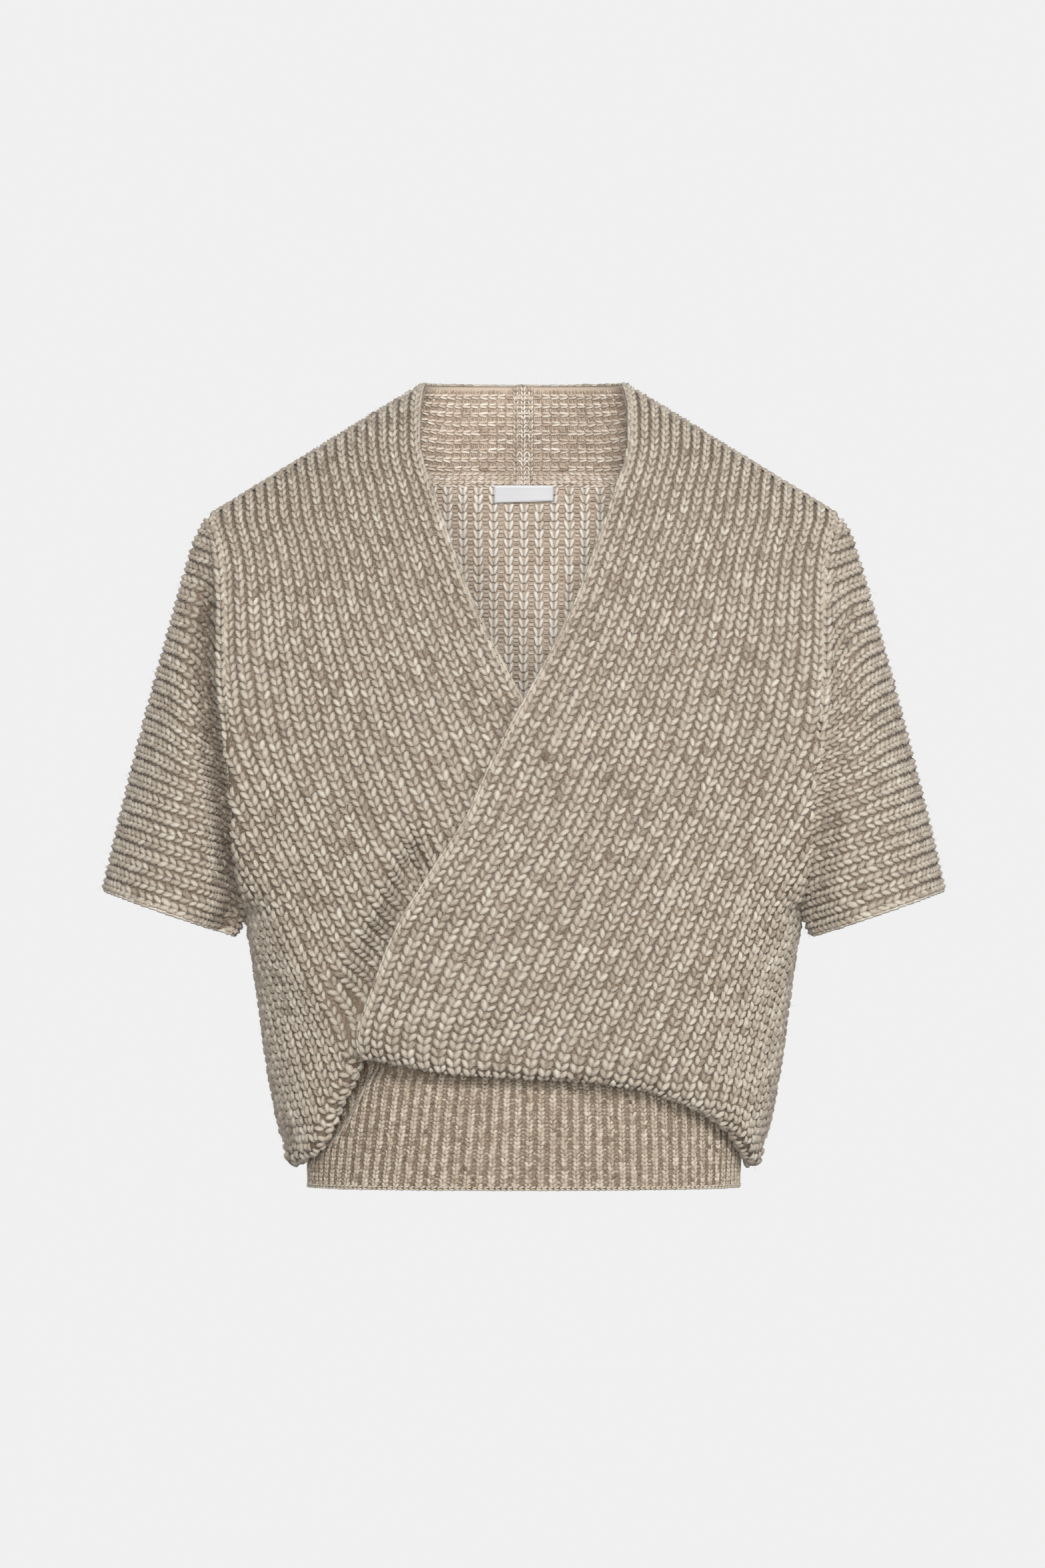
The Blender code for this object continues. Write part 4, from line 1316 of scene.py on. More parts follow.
    def trough(self, points: Array) -> Array:
        """Depth of the fold between the sleeve and the body's side."""
        dip = np.where(points[:, 1] < 0.0, self.dip, self.back_dip)
        deep = np.minimum(dip, self.dip_most * np.abs(points[:, 1]))
        return deep * self.fold_share(points)

    def ribs(self, stitch: float) -> Stitches:
        """The stitches of the sleeve's ribs.

        Args:
            stitch: Height of a stitch.

        Returns:
            The stitches.
        """
        lots = []
        for i in range(1, len(self.levels), 2):
            lot = walk(self.patch, i, stitch)
            room = np.interp(lot.spot, np.arange(self.count), self.tall - self.levels[i])
            lots.append(lot.kept(room > self.least_room))
        return Stitches.joined(lots)

    def armhole_seam(self, stitch: float) -> Stitches:
        """Linked stitches along the armhole.

        Args:
            stitch: Height of a stitch.

        Returns:
            The stitches.
        """
        body = self.seam + np.array([self.seam_reach, 0.0, 0.0])
        front = self.form.depth(body[:, 0], body[:, 2], Face.FRONT)
        back = self.form.depth(body[:, 0], body[:, 2], Face.BACK)
        body[:, 1] = np.where(np.arange(self.count) * 2 < self.count, front, back)
        sleeve = self.seam + (self.seam - body)
        lines = np.stack([sleeve, self.seam + self.ring_out * self.seam_lift, body])
        lot = walk(Patch(lines, 0, 1.0), 1, stitch)
        return lot.kept(lot.place[:, 2] < TIP_Z - stitch / 2.0)

    def build(self, material: bpy.types.Material) -> bpy.types.Object:
        """The sleeve's shell.

        Args:
            material: The finish.

        Returns:
            The piece.
        """
        shares = 1.0 - (1.0 - np.linspace(0.0, 1.0, self.rows + 1)) ** self.row_spread
        lines = np.stack([self.line(self.tall * share) for share in shares], axis=1)[:-1]
        walls, faces = shell(lines, -1.0, self.wall_thickness, self.raised, closed=True)
        piece = mesh_piece(self.name + "_cloth", walls, faces, self.side, material,
                           tones=inner_share(walls))
        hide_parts(self.name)
        return piece


@dataclass
class Waistband:
    """The fitted band of fine upright ribs under the blouse."""

    form: BodyForm
    cut: tuple[float, float, float]
    name: str = "waistband"
    ribs_round: int = 100
    crest: float = 0.0010
    wall_thickness: float = 0.0026
    rows: int = 20
    samples: int = 60
    covered_z: float = -0.446
    lower_skip: float = 0.002
    hem_points: int = 500
    hem_half: float = 0.0012
    hem_rise: float = 0.0014
    hem_stand: float = 0.0004
    creases: tuple[Crease, ...] = (
        Crease((-0.106, -0.450), (-0.156, -0.518), 0.0090, -0.0140),
        Crease((-0.100, -0.462), (0.060, -0.468), 0.0060, -0.0050),
    )
    leans: Rows = (
        (0.0, 0.0), (0.35, 0.10), (0.8, 0.05), (1.1, 0.0), (1.6, -0.03), (2.0, 0.0), (4.0, 0.0),
    )

    def __post_init__(self) -> None:
        """Lay out the ribs' lines."""
        z = np.linspace(BAND_HEM_Z, BAND_TOP_Z, self.samples)
        count = 2 * self.ribs_round
        place = 4.0 * np.arange(count + 1) / count
        lean = Profile(self.leans)(place)
        share = (z - BAND_HEM_Z) / (BAND_TOP_Z - BAND_HEM_Z)
        places = place[:, None] + lean[:, None] * (share[None, :] - 0.5)
        places = np.mod(places, 4.0)
        heights = np.broadcast_to(z, places.shape)
        front = self.form.band_point(np.clip(places, 0.0, 2.0), heights, Face.FRONT, 0.0)
        back = self.form.band_point(np.clip(4.0 - places, 0.0, 2.0), heights, Face.BACK, 0.0)
        self.patch = Patch(np.where((places < 2.0)[..., None], front, back), 0, 1.0)
        self.patch.crease(self.creases)

    def columns(self, first: int, pitch: float, narrow: float) -> Stitches:
        """Stitches of every second column.

        Args:
            first: Number of the first column.
            pitch: Height of a stitch.
            narrow: Share of a column's width that they fill.

        Returns:
            The stitches.
        """
        lots = [walk(self.patch, i, pitch, skip=(self.lower_skip, 0.0), narrow=narrow)
                for i in range(first, 2 * self.ribs_round, 2)]
        lot = Stitches.joined(lots)
        return lot.kept(lot.place[:, 2] < self.covered_z)

    def build(self, material: bpy.types.Material) -> bpy.types.Object:
        """The band's shell.

        Args:
            material: The finish.

        Returns:
            The piece.
        """
        rows = np.linspace(0, self.samples - 1, self.rows + 1).round().astype(int)
        points = self.patch.points[:-1][:, rows]
        lift = np.zeros(points.shape[:2])
        lift[1::2] = self.crest
        walls, faces = shell(points, 1.0, self.wall_thickness, lift, closed=True)
        piece = mesh_piece(self.name + "_cloth", walls, faces, Side.RIGHT, material,
                           tones=inner_share(walls))
        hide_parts(self.name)
        return piece

    def hem(self, pitch: float) -> Stitches:
        """The cast-off chain round the lower edge.

        Args:
            pitch: Height of a stitch.

        Returns:
            The stitches.
        """
        place = np.linspace(0.0, 4.0, self.hem_points)
        right, left = np.clip(place, 0.0, 2.0), np.clip(4.0 - place, 0.0, 2.0)
        lines = []
        for drop in (-self.hem_half, 0.0, self.hem_half):
            z = np.full_like(place, BAND_HEM_Z + self.hem_rise + drop)
            front = self.form.band_point(right, z, Face.FRONT, self.hem_stand)
            back = self.form.band_point(left, z, Face.BACK, self.hem_stand)
            lines.append(np.where((place < 2.0)[:, None], front, back))
        return walk(Patch(np.stack(lines), 0, -1.0), 1, pitch)


@dataclass
class Label:
    """The bare woven tab under the collar seam."""

    form: BodyForm
    name: str = "label"
    half_width: float = 0.0215
    top_z: float = -0.0405
    height: float = 0.012
    thickness: float = 0.0008
    clear: float = 0.0024
    wall: float = 0.003
    tilt: float = 0.035
    bow: float = 0.0005
    margin: float = 0.002
    columns: int = 24
    rows: int = 8

    @classmethod
    def covers(cls, place: Array) -> Array:
        """Which stitches lie behind the tab."""
        low = cls.top_z - cls.height
        behind = (place[:, 2] < cls.top_z + cls.margin) & (place[:, 2] > low)
        return behind & (np.abs(place[:, 0]) < cls.half_width)

    def build(self, material: bpy.types.Material) -> bpy.types.Object:
        """The tab, slightly crooked, with a soft bow.

        Args:
            material: The finish.

        Returns:
            The piece.
        """
        x = np.linspace(-self.half_width, self.half_width, self.columns + 1)
        share = np.linspace(0.0, 1.0, self.rows + 1)
        xs, shares = np.meshgrid(x, share, indexing="ij")
        zs = self.top_z - self.height * (1.0 - shares) + self.tilt * xs * (1.0 - shares)
        bow = self.bow * np.sin(math.pi * (xs / self.half_width + 1.0)) * (1.0 - shares)
        ys = self.form.depth(xs, zs, Face.BACK) - self.wall - self.clear - self.thickness + bow
        points = np.stack([xs, ys, zs], axis=-1)
        walls, faces = shell(points, 1.0, self.thickness)
        maps = np.stack([walls[:, 0], walls[:, 2]], axis=-1)
        piece = mesh_piece(self.name + "_tape", walls, faces, Side.RIGHT, material,
                           maps=maps)
        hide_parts(self.name)
        return piece


@dataclass
class Fibres:
    """Loose wool fibres that stand off the knitting as a faint halo."""

    seed: int
    width: float = 0.00011
    length: tuple[float, float] = (0.0035, 0.0090)
    stand: float = 0.0016
    spread: float = 0.006
    least_rise: float = 0.05
    more_rise: float = 0.80
    lean: float = 0.3
    curl: float = 0.7
    taper: float = 0.8
    steps: int = 2

    def build(self, name: str, lot: Stitches, count: int, side: Side,
              material: bpy.types.Material) -> bpy.types.Object:
        """Curved ribbons that spring from random stitches.

        Args:
            name: Name of the piece.
            lot: Stitches they spring from.
            count: Number of fibres.
            side: Right or left.
            material: The finish.

        Returns:
            The piece.
        """
        random = np.random.default_rng(self.seed)
        chosen = random.integers(0, len(lot.place), count)
        turn = random.random((count, 1)) * 2.0 * math.pi
        way = np.cos(turn) * lot.across[chosen] + np.sin(turn) * lot.up[chosen]
        bend = np.cross(lot.out[chosen], way) * (random.random((count, 1)) - 0.5) * 2.0
        start = lot.place[chosen] + lot.out[chosen] * self.stand
        start = start + lot.across[chosen] * (random.random((count, 1)) - 0.5) * self.spread
        size = mix(self.length[0], self.length[1], random.random((count, 1)))
        rise = self.least_rise + self.more_rise * random.random((count, 1)) ** 3
        edge = unit(np.cross(lot.out[chosen], way) + self.lean * lot.out[chosen])
        points = []
        for step in range(self.steps + 1):
            share = step / self.steps
            run = way * share + bend * share**2 * self.curl + lot.out[chosen] * rise * share
            spot = start + size * run
            half = edge * self.width * (1.0 - self.taper * share)
            points += [spot - half, spot + half]
        size_of_one = 2 * (self.steps + 1)
        points = np.stack(points, axis=1).reshape(-1, 3)
        first = np.arange(count) * size_of_one
        corners = (0, 1, 3, 2)
        faces = [np.stack([first + 2 * i + corner for corner in corners], axis=1)
                 for i in range(self.steps)]
        return mesh_piece(name, points, faces, side, material)


class Recipe:
    """One material: its surface, its nodes and the links between them."""

    def __init__(self, name: str, values: Values) -> None:
        """Start the material.

        Args:
            name: Its name.
            values: Values of its surface's inputs.
        """
        self.material = bpy.data.materials.new(name)
        self.material.use_nodes = True
        self.nodes = self.material.node_tree.nodes
        self.links = self.material.node_tree.links
        self.surface = self.nodes["Principled BSDF"]
        self.settle(self.surface, values)

    @staticmethod
    def settle(node: bpy.types.Node, values: Values) -> None:
        """Give a node's inputs their values."""
        for key, value in values.items():
            node.inputs[key].default_value = value

    def add(self, kind: str, values: Values | None = None) -> bpy.types.Node:
        """A new node with its values."""
        node = self.nodes.new(kind)
        self.settle(node, values or {})
        return node

    def yarn_map(self) -> bpy.types.NodeSocket:
        """Place along and round the yarn."""
        node = self.add("ShaderNodeUVMap")
        node.uv_map = "yarn"
        return node.outputs["UV"]

    def tone(self) -> bpy.types.NodeSocket:
        """Tone that each point of the mesh carries."""
        node = self.add("ShaderNodeAttribute")
        node.attribute_name = "tone"
        return node.outputs["Fac"]

    def drawn_noise(self, place: bpy.types.NodeSocket,
                    scale: tuple[float, float, float]) -> bpy.types.NodeSocket:
        """Noise drawn out along the yarn."""
        mapping = self.add("ShaderNodeMapping", {"Scale": scale})
        self.links.new(place, mapping.inputs["Vector"])
        noise = self.add("ShaderNodeTexNoise", {"Scale": 1.0, "Detail": 3.0, "Roughness": 0.6})
        self.links.new(mapping.outputs["Vector"], noise.inputs["Vector"])
        return noise.outputs["Fac"]

    def combine(self, how: str, a: bpy.types.NodeSocket,
                b: bpy.types.NodeSocket | float) -> bpy.types.NodeSocket:
        """Join two values by a Math node."""
        node = self.add("ShaderNodeMath")
        node.operation = how
        self.links.new(a, node.inputs[0])
        if isinstance(b, float):
            node.inputs[1].default_value = b
        else:
            self.links.new(b, node.inputs[1])
        return node.outputs["Value"]

    def ramp(self, value: bpy.types.NodeSocket,
             *stops: tuple[float, Colour]) -> bpy.types.NodeSocket:
        """Colours along a value: the two end stops first, then any between them."""
        node = self.add("ShaderNodeValToRGB")
        elements = node.color_ramp.elements
        for i, (position, colour) in enumerate(stops):
            if i < 2:
                elements[i].position = position
                elements[i].color = (*colour, 1.0)
            else:
                elements.new(position).color = (*colour, 1.0)
        self.links.new(value, node.inputs["Fac"])
        return node.outputs["Color"]

    def colour(self, result: bpy.types.NodeSocket) -> None:
        """Send a colour to the surface."""
        self.links.new(result, self.surface.inputs["Base Color"])

    def bump(self, height: bpy.types.NodeSocket, strength: float, distance: float) -> None:
        """Roughen the surface by a height."""
        node = self.add("ShaderNodeBump", {"Strength": strength, "Distance": distance})
        self.links.new(height, node.inputs["Height"])
        self.links.new(node.outputs["Normal"], self.surface.inputs["Normal"])


@dataclass(frozen=True)
class WoolFinish:
    """Heathered wool, its streaks laid along the yarn's own map."""

    name: str
    brown: Colour
    taupe: Colour
    cream: Colour
    streak_share: float = 0.62
    fleck_share: float = 0.52
    offset: float = 0.57
    bump: float = 0.35
    sheen: float = 0.25

    def material(self) -> bpy.types.Material:
        """The finish as a material."""
        recipe = Recipe(self.name, {
            "Roughness": 0.92, "Specular IOR Level": 0.2, "Sheen Weight": self.sheen,
            "Sheen Roughness": 0.55, "Sheen Tint": (1.0, 0.96, 0.9, 1.0),
        })
        place = recipe.yarn_map()
        streaks = recipe.drawn_noise(place, (260.0, 1500.0, 1.0))
        flecks = recipe.drawn_noise(place, (420.0, 620.0, 1.0))
        tone = recipe.tone()
        amount = recipe.combine("MULTIPLY", streaks, self.streak_share)
        fleck = recipe.combine("MULTIPLY", flecks, self.fleck_share)
        total = recipe.combine("ADD", amount, fleck)
        total = recipe.combine("ADD", total, tone)
        total = recipe.combine("SUBTRACT", total, self.offset)
        stops = (0.12, self.brown), (0.85, self.cream), (0.45, self.taupe)
        recipe.colour(recipe.ramp(total, *stops))
        recipe.bump(streaks, self.bump, 0.0003)
        return recipe.material


@dataclass(frozen=True)
class GroundFinish:
    """The cloth under the stitches, seen in the valleys between the ribs. Its outer face is dark
    brown, partly the yarn's own brown and partly painted shade of the valleys; its inner face is
    plain wool.
    """

    name: str
    dark: Colour
    light: Colour
    inner: Colour

    def material(self) -> bpy.types.Material:
        """The finish as a material."""
        recipe = Recipe(self.name, {
            "Roughness": 0.95, "Specular IOR Level": 0.1, "Sheen Weight": 0.15,
        })
        place = recipe.add("ShaderNodeTexCoord")
        noise = recipe.add("ShaderNodeTexNoise", {"Scale": 900.0, "Detail": 4.0})
        recipe.links.new(place.outputs["Object"], noise.inputs["Vector"])
        # Painted shade: the outer face's dark colours stand in partly for the shade in the valleys.
        outer = recipe.ramp(noise.outputs["Fac"], (0.35, self.dark), (0.7, self.light))
        tone = recipe.tone()
        blend = recipe.add("ShaderNodeMix")
        blend.data_type = "RGBA"
        sockets = [item for item in blend.inputs if item.type == "RGBA"]
        sockets[1].default_value = (*self.inner, 1.0)
        recipe.links.new(tone, blend.inputs["Factor"])
        recipe.links.new(outer, sockets[0])
        recipe.colour(next(item for item in blend.outputs if item.type == "RGBA"))
        recipe.bump(noise.outputs["Fac"], 0.5, 0.0004)
        return recipe.material


@dataclass(frozen=True)
class TapeFinish:
    """Woven white tape, its threads on the tape's own map."""

    name: str = "white_tape"
    colour: Colour = (0.82, 0.82, 0.84)
    shade: Colour = (0.68, 0.68, 0.70)
    thread: float = 0.0005

    def material(self) -> bpy.types.Material:
        """The finish as a material."""
        recipe = Recipe(self.name, {"Roughness": 0.6, "Sheen Weight": 0.2})
        place = recipe.yarn_map()
        threads = recipe.add("ShaderNodeTexWave", {"Scale": 1.0 / self.thread / 6.0,
                                                   "Distortion": 0.6})
        threads.bands_direction = "Y"
        recipe.links.new(place, threads.inputs["Vector"])
        recipe.colour(recipe.ramp(threads.outputs["Fac"], (0.0, self.shade), (1.0, self.colour)))
        recipe.bump(threads.outputs["Fac"], 0.4, 0.0002)
        return recipe.material


@dataclass
class Studio:
    """Plain pale surroundings, soft light and the camera in front."""

    photo_scale: float = 0.00048
    photo_size: tuple[int, int] = (1568, 2352)
    origin_pixel: tuple[float, float] = (786.0, 640.0)
    distance: float = 10.0
    front_y: float = -0.03
    floor_z: float = -0.90
    backdrop: float = 0.871
    room_light: float = 0.62
    room_dark: float = 0.04
    dark_tilt: float = 0.85
    aim: tuple[float, float, float] = (0.0, 0.0, -0.25)
    floor_radius: float = 9.0

    def build(self) -> None:
        """Set the world, the floor, the lights and the camera."""
        world = bpy.data.worlds.new("pale_room")
        world.use_nodes = True
        nodes, links = world.node_tree.nodes, world.node_tree.links
        background = nodes["Background"]
        background.inputs["Color"].default_value = (*[self.backdrop] * 3, 1.0)
        way = nodes.new("ShaderNodeTexCoord")
        split = nodes.new("ShaderNodeSeparateXYZ")
        tilt = nodes.new("ShaderNodeMath")
        tilt.operation = "ABSOLUTE"
        level = nodes.new("ShaderNodeMapRange")
        level.inputs["From Max"].default_value = self.dark_tilt
        level.inputs["To Min"].default_value = self.room_light
        level.inputs["To Max"].default_value = self.room_dark
        rays = nodes.new("ShaderNodeLightPath")
        strength = nodes.new("ShaderNodeMapRange")
        strength.inputs["To Max"].default_value = 1.0
        links.new(way.outputs["Generated"], split.inputs["Vector"])
        links.new(split.outputs["Z"], tilt.inputs[0])
        links.new(tilt.outputs["Value"], level.inputs["Value"])
        links.new(level.outputs["Result"], strength.inputs["To Min"])
        links.new(rays.outputs["Is Camera Ray"], strength.inputs["Value"])
        links.new(strength.outputs["Result"], background.inputs["Strength"])
        bpy.context.scene.world = world
        bpy.context.scene.view_settings.view_transform = "Standard"
        bpy.context.scene.view_settings.look = "None"
        self.floor()
        self.light("key", (2.6, -2.4, 0.2), (1.0, 1.0), 24.0)
        self.light("high", (0.45, -4.4, 1.6), (1.2, 1.2), 140.0)
        self.light("front", (-0.3, -5.0, -0.22), (1.5, 1.2), 110.0)
        self.light("back", (-0.9, 2.9, 0.7), (1.6, 1.6), 80.0)
        self.camera()

    def floor(self) -> None:
        """A pale floor well below the sweater."""
        bpy.ops.object.select_all(action="DESELECT")
        bpy.ops.mesh.primitive_circle_add(vertices=96, radius=self.floor_radius, fill_type="NGON",
                                          location=(0.0, 0.0, self.floor_z))
        floor = bpy.context.object
        floor.name = "floor"
        bpy.ops.object.transform_apply(location=True, rotation=True, scale=True)
        recipe = Recipe("pale_floor", {
            "Base Color": (0.0, 0.0, 0.0, 1.0), "Specular IOR Level": 0.0,
            "Emission Color": (*[self.backdrop] * 3, 1.0), "Emission Strength": 1.0,
        })
        floor.data.materials.append(recipe.material)
        floor.visible_diffuse = False

    def light(self, name: str, place: tuple[float, float, float], size: tuple[float, float],
              power: float) -> None:
        """A large soft light aimed at the sweater.

        Args:
            name: Its name.
            place: Where it hangs.
            size: Its width and height.
            power: Its power in watts.
        """
        data = bpy.data.lights.new(name, "AREA")
        data.shape = "RECTANGLE"
        data.size, data.size_y = size
        data.energy = power
        lamp = bpy.data.objects.new(name, data)
        lamp.location = place
        way = np.array(self.aim) - np.array(place)
        lamp.rotation_euler = Vector(way).to_track_quat("-Z", "Y").to_euler()
        bpy.context.scene.collection.objects.link(lamp)

    def camera(self) -> None:
        """The camera straight in front, framed as the photograph."""
        width, height = self.photo_size
        x = (width / 2.0 - self.origin_pixel[0]) * self.photo_scale
        z = (self.origin_pixel[1] - height / 2.0) * self.photo_scale
        data = bpy.data.cameras.new("front_camera")
        data.sensor_width = 36.0
        data.lens = data.sensor_width * self.distance / (height * self.photo_scale)
        data.clip_end = 60.0
        camera = bpy.data.objects.new("front_camera", data)
        camera.location = (x, self.front_y - self.distance, z)
        camera.rotation_euler = (math.pi / 2.0, 0.0, 0.0)
        bpy.context.scene.collection.objects.link(camera)
        bpy.context.scene.camera = camera


@dataclass(frozen=True)
class Tones:
    """Middle tone of the yarn in each place, from brown (0) to cream (1)."""

    body: float = 0.51
    sleeve: float = 0.52
    linked: float = 0.50
    edge: float = 0.52
    cuff: float = 0.66
    hem: float = 0.72
    band_rib: float = 0.60
    band_purl: float = 0.34
    collar_rib: float = 0.49
    collar_purl: float = 0.20
    collar_chain: float = 0.52
    # Painted light: the inside back's tones are raised above the collar's, standing in for light
    # deep inside the neck.
    back_rib: float = 0.80
    back_purl: float = 0.36
    seam_strip: tuple[float, float, float] = (0.45, 0.75, 0.50)


@dataclass
class Sweater:
    """The whole sweater: panels, stitches, edges, linked seams, label and fibres."""

    form: BodyForm = field(default_factory=BodyForm)
    tones: Tones = Tones()
    rib: StitchForm = StitchForm(height=0.0064)
    back_rib: StitchForm = StitchForm(height=0.0068, rings=2)
    fine: StitchForm = StitchForm(height=0.0030, inner=0.05, outer=0.54, thick=0.54, deep=0.0010,
                                  arch=0.0008, sink=0.0, long=1.45, rings=2, jitter=0.12)
    purl: StitchForm = StitchForm(height=0.0026, thick=0.50, deep=0.0006, arch=0.0003,
                                  sink=0.0005, rings=1, jitter=0.12)
    inner_rib: StitchForm = StitchForm(height=0.0066, inner=0.10, outer=0.60, thick=0.36,
                                       deep=0.0013, arch=0.0009, sink=0.0, long=1.30, rings=2)
    inner_purl: StitchForm = StitchForm(height=0.0030, thick=0.36, deep=0.0006, arch=0.0003,
                                        sink=0.0, rings=2, jitter=0.14)
    seam: StitchForm = StitchForm(height=0.0060, thick=0.44, deep=0.0014, arch=0.0010)
    link: StitchForm = StitchForm(height=0.0048, deep=0.0012, arch=0.0010, sink=-0.0003)
    hem_chain: StitchForm = StitchForm(height=0.0042, deep=0.0011, arch=0.0008, rings=2)
    strip: StitchForm = StitchForm(height=0.0036, thick=0.36, deep=0.0011, arch=0.0012, long=1.25)
    link_half_width: float = 0.0026
    link_rise: float = 0.0014
    link_narrow: float = 0.66
    # How far the yarn is darkened in the fold at the armhole, as painted shade.
    fold_painted_shade: float = 8.0
    front_fibres: int = 6500
    back_fibres: int = 7000
    sleeve_fibres: int = 3800
    edge_start: float = 0.004
    edge_half_width: float = 0.0022
    edge_tuck: float = 0.0010
    edge_stand: float = 0.0003
    cuff_half_width: float = 0.0024
    hem_half_width: float = 0.0018
    collar_rib_narrow: float = 0.84
    collar_purl_narrow: float = 0.50
    back_rib_narrow: float = 0.86
    back_purl_narrow: float = 0.46
    band_rib_narrow: float = 0.80
    band_purl_narrow: float = 0.60
    back_inside_columns: int = 22
    back_inside_z: float = -0.235
    strip_ends: tuple[float, float] = (-0.0085, 0.0075)
    strip_stand: float = 0.0036
    strip_narrow: float = 0.9
    chain: StitchForm = StitchForm(height=0.0064, thick=0.55, inner=0.2, outer=0.55, deep=0.0012,
                                   arch=0.0008, long=1.45, rings=2)

    def __post_init__(self) -> None:
        """Make the finishes."""
        self.body_wool = WoolFinish("heather_wool", (0.16, 0.11, 0.075), (0.43, 0.365, 0.29),
                                    (0.64, 0.59, 0.50)).material()
        self.band_wool = WoolFinish("fine_rib_wool", (0.13, 0.09, 0.06), (0.38, 0.305, 0.225),
                                    (0.57, 0.50, 0.40)).material()
        # The ground's dark outer colours are partly painted shade of the valleys between the ribs.
        self.ground = GroundFinish("ground_and_valley_shade", (0.125, 0.088, 0.062), (0.32, 0.255, 0.19),
                                   inner=(0.52, 0.42, 0.33)).material()
        # Painted light: a lighter copy of the heather wool for the inner faces seen through the
        # neck; its extra lightness stands in for light there.
        self.inner_wool = WoolFinish("inner_wool", (0.36, 0.265, 0.19), (0.63, 0.53, 0.43),
                                     (0.84, 0.785, 0.70)).material()
        self.fibre = WoolFinish("loose_fibre", (0.35, 0.29, 0.22), (0.55, 0.48, 0.40),
                                (0.70, 0.64, 0.56), bump=0.0).material()
        self.tape = TapeFinish().material()

    def build(self) -> None:
        """Knit every piece."""
        self.front(Side.RIGHT)
        self.front(Side.LEFT)
        self.back()
        self.sleeve(Side.RIGHT)
        self.sleeve(Side.LEFT)
        self.waistband()
        self.label()

    def front(self, side: Side) -> None:
        """One front with its half collar, its stitches, edge and inside."""
        panel = right_front(self.form) if side is Side.RIGHT else left_front(self.form)
        cloth = panel.build(self.ground)
        lot = panel.ribs(self.rib.height)
        if side is Side.RIGHT:
            lot = lot.kept(panel_shows(lot, self.form))
        seed = Seed.FRONT_RIGHT if side is Side.RIGHT else Seed.FRONT_LEFT
        yarn = Yarn(seed)
        yarn.legs(lot, self.rib, tone=self.tones.body)
        stitches = yarn.build(panel.name + "_stitches", side, self.body_wool, "rib_knit")
        edge = self.edge(panel, side)
        inside = self.collar_inside(panel, side)
        fibres = Fibres(seed + FIBRE_SEED_STEP).build(
            panel.name + "_fibres", lot, self.front_fibres, side, self.fibre)

    def edge(self, panel: BodyPanel, side: Side) -> bpy.types.Object:
        """The smooth chain along the front edge and the collar's top.

        Args:
            panel: The front.
            side: Right or left.

        Returns:
            The piece.
        """
        yarn = Yarn(Seed.EDGE)
        for patch in (panel.main, panel.collar):
            last = len(patch.points) - 1
            lot = walk(patch, last, self.chain.height, skip=(self.edge_start, 0.0))
            lot.half_width[:] = self.edge_half_width
            lot.place -= lot.across * self.edge_tuck
            lot.place += lot.out * self.edge_stand
            yarn.legs(lot, self.chain, tone=self.tones.edge)
        return yarn.build(panel.name + "_edge", side, self.body_wool, "rib_knit")

    def collar_inside(self, panel: BodyPanel, side: Side) -> bpy.types.Object:
        """Ribs, purl bumps and the two linking chains on the collar's inner face.

        Args:
            panel: The front.
            side: Right or left.

        Returns:
            The piece.
        """
        yarn = Yarn(Seed.COLLAR_INSIDE, patch_tone=0.035, stitch_tone=0.12)
        wall = panel.wall_thickness
        collar = panel.collar
        top = EDGE_COLUMNS - NECK_COLUMN
        for column in range(4, top, 2):
            lot = walk(collar, column, self.inner_rib.height, narrow=self.collar_rib_narrow)
            yarn.legs(lot.inside(wall), self.inner_rib, tone=self.tones.collar_rib)
        for column in range(3, top, 2):
            lot = walk(collar, column, self.inner_purl.height, narrow=self.collar_purl_narrow)
            yarn.legs(lot.inside(wall), self.inner_purl, legs=(0,), tone=self.tones.collar_purl)
        for column in range(3):
            lot = walk(collar, column, self.link.height, narrow=self.link_narrow).inside(wall)
            lot.half_width[:] = self.link_half_width
            lot.place[:, 2] += self.link_rise
            yarn.legs(lot, self.link, tone=self.tones.collar_chain)
        return yarn.build(panel.name + "_inside", side, self.inner_wool, "rib_knit")

    def back(self) -> None:
        """The back with its stitches, the inside that shows, and the middle seam's strip."""
        panel = back_panel(self.form)
        cloth = panel.build(self.ground)
        lot = panel.ribs(self.back_rib.height)
        yarn = Yarn(Seed.BACK)
        yarn.legs(lot, self.back_rib, tone=self.tones.body)
        for seam in self.seams(panel):
            yarn.legs(seam, self.seam, tone=self.tones.linked)
            yarn.legs(seam.mirrored(), self.seam, tone=self.tones.linked)
        yarn.legs(self.collar_middle(), self.seam, tone=self.tones.linked)
        stitches = yarn.build("back_stitches", Side.RIGHT, self.body_wool, "rib_knit")
        inside = self.back_inside(panel)
        strip = self.seam_strip()
        fibres = Fibres(Seed.BACK + FIBRE_SEED_STEP).build(
            "back_fibres", lot, self.back_fibres, Side.RIGHT, self.fibre)

    def back_inside(self, panel: BodyPanel) -> bpy.types.Object:
        """Ribs and purl bumps of the back's inner face, where the neck lets them be seen.

        Args:
            panel: The back.

        Returns:
            The piece.
        """
        inner = Yarn(Seed.BACK_INSIDE, patch_tone=0.05, stitch_tone=0.12)
        middle = EDGE_COLUMNS - SIDE_COLUMNS
        for offset in range(-self.back_inside_columns, self.back_inside_columns + 1):
            rib = offset % 2 == 0
            form = self.inner_rib if rib else self.inner_purl
            narrow = self.back_rib_narrow if rib else self.back_purl_narrow
            tone = self.tones.back_rib if rib else self.tones.back_purl
            row = walk(panel.main, middle + offset, form.height, narrow=narrow)
            row = row.kept(row.place[:, 2] > self.back_inside_z).inside(panel.wall_thickness)
            row = row.kept(~Label.covers(row.place))
            inner.legs(row, form, legs=(-1, 1) if rib else (0,), tone=tone)
        return inner.build("back_inside", Side.RIGHT, self.inner_wool, "rib_knit")

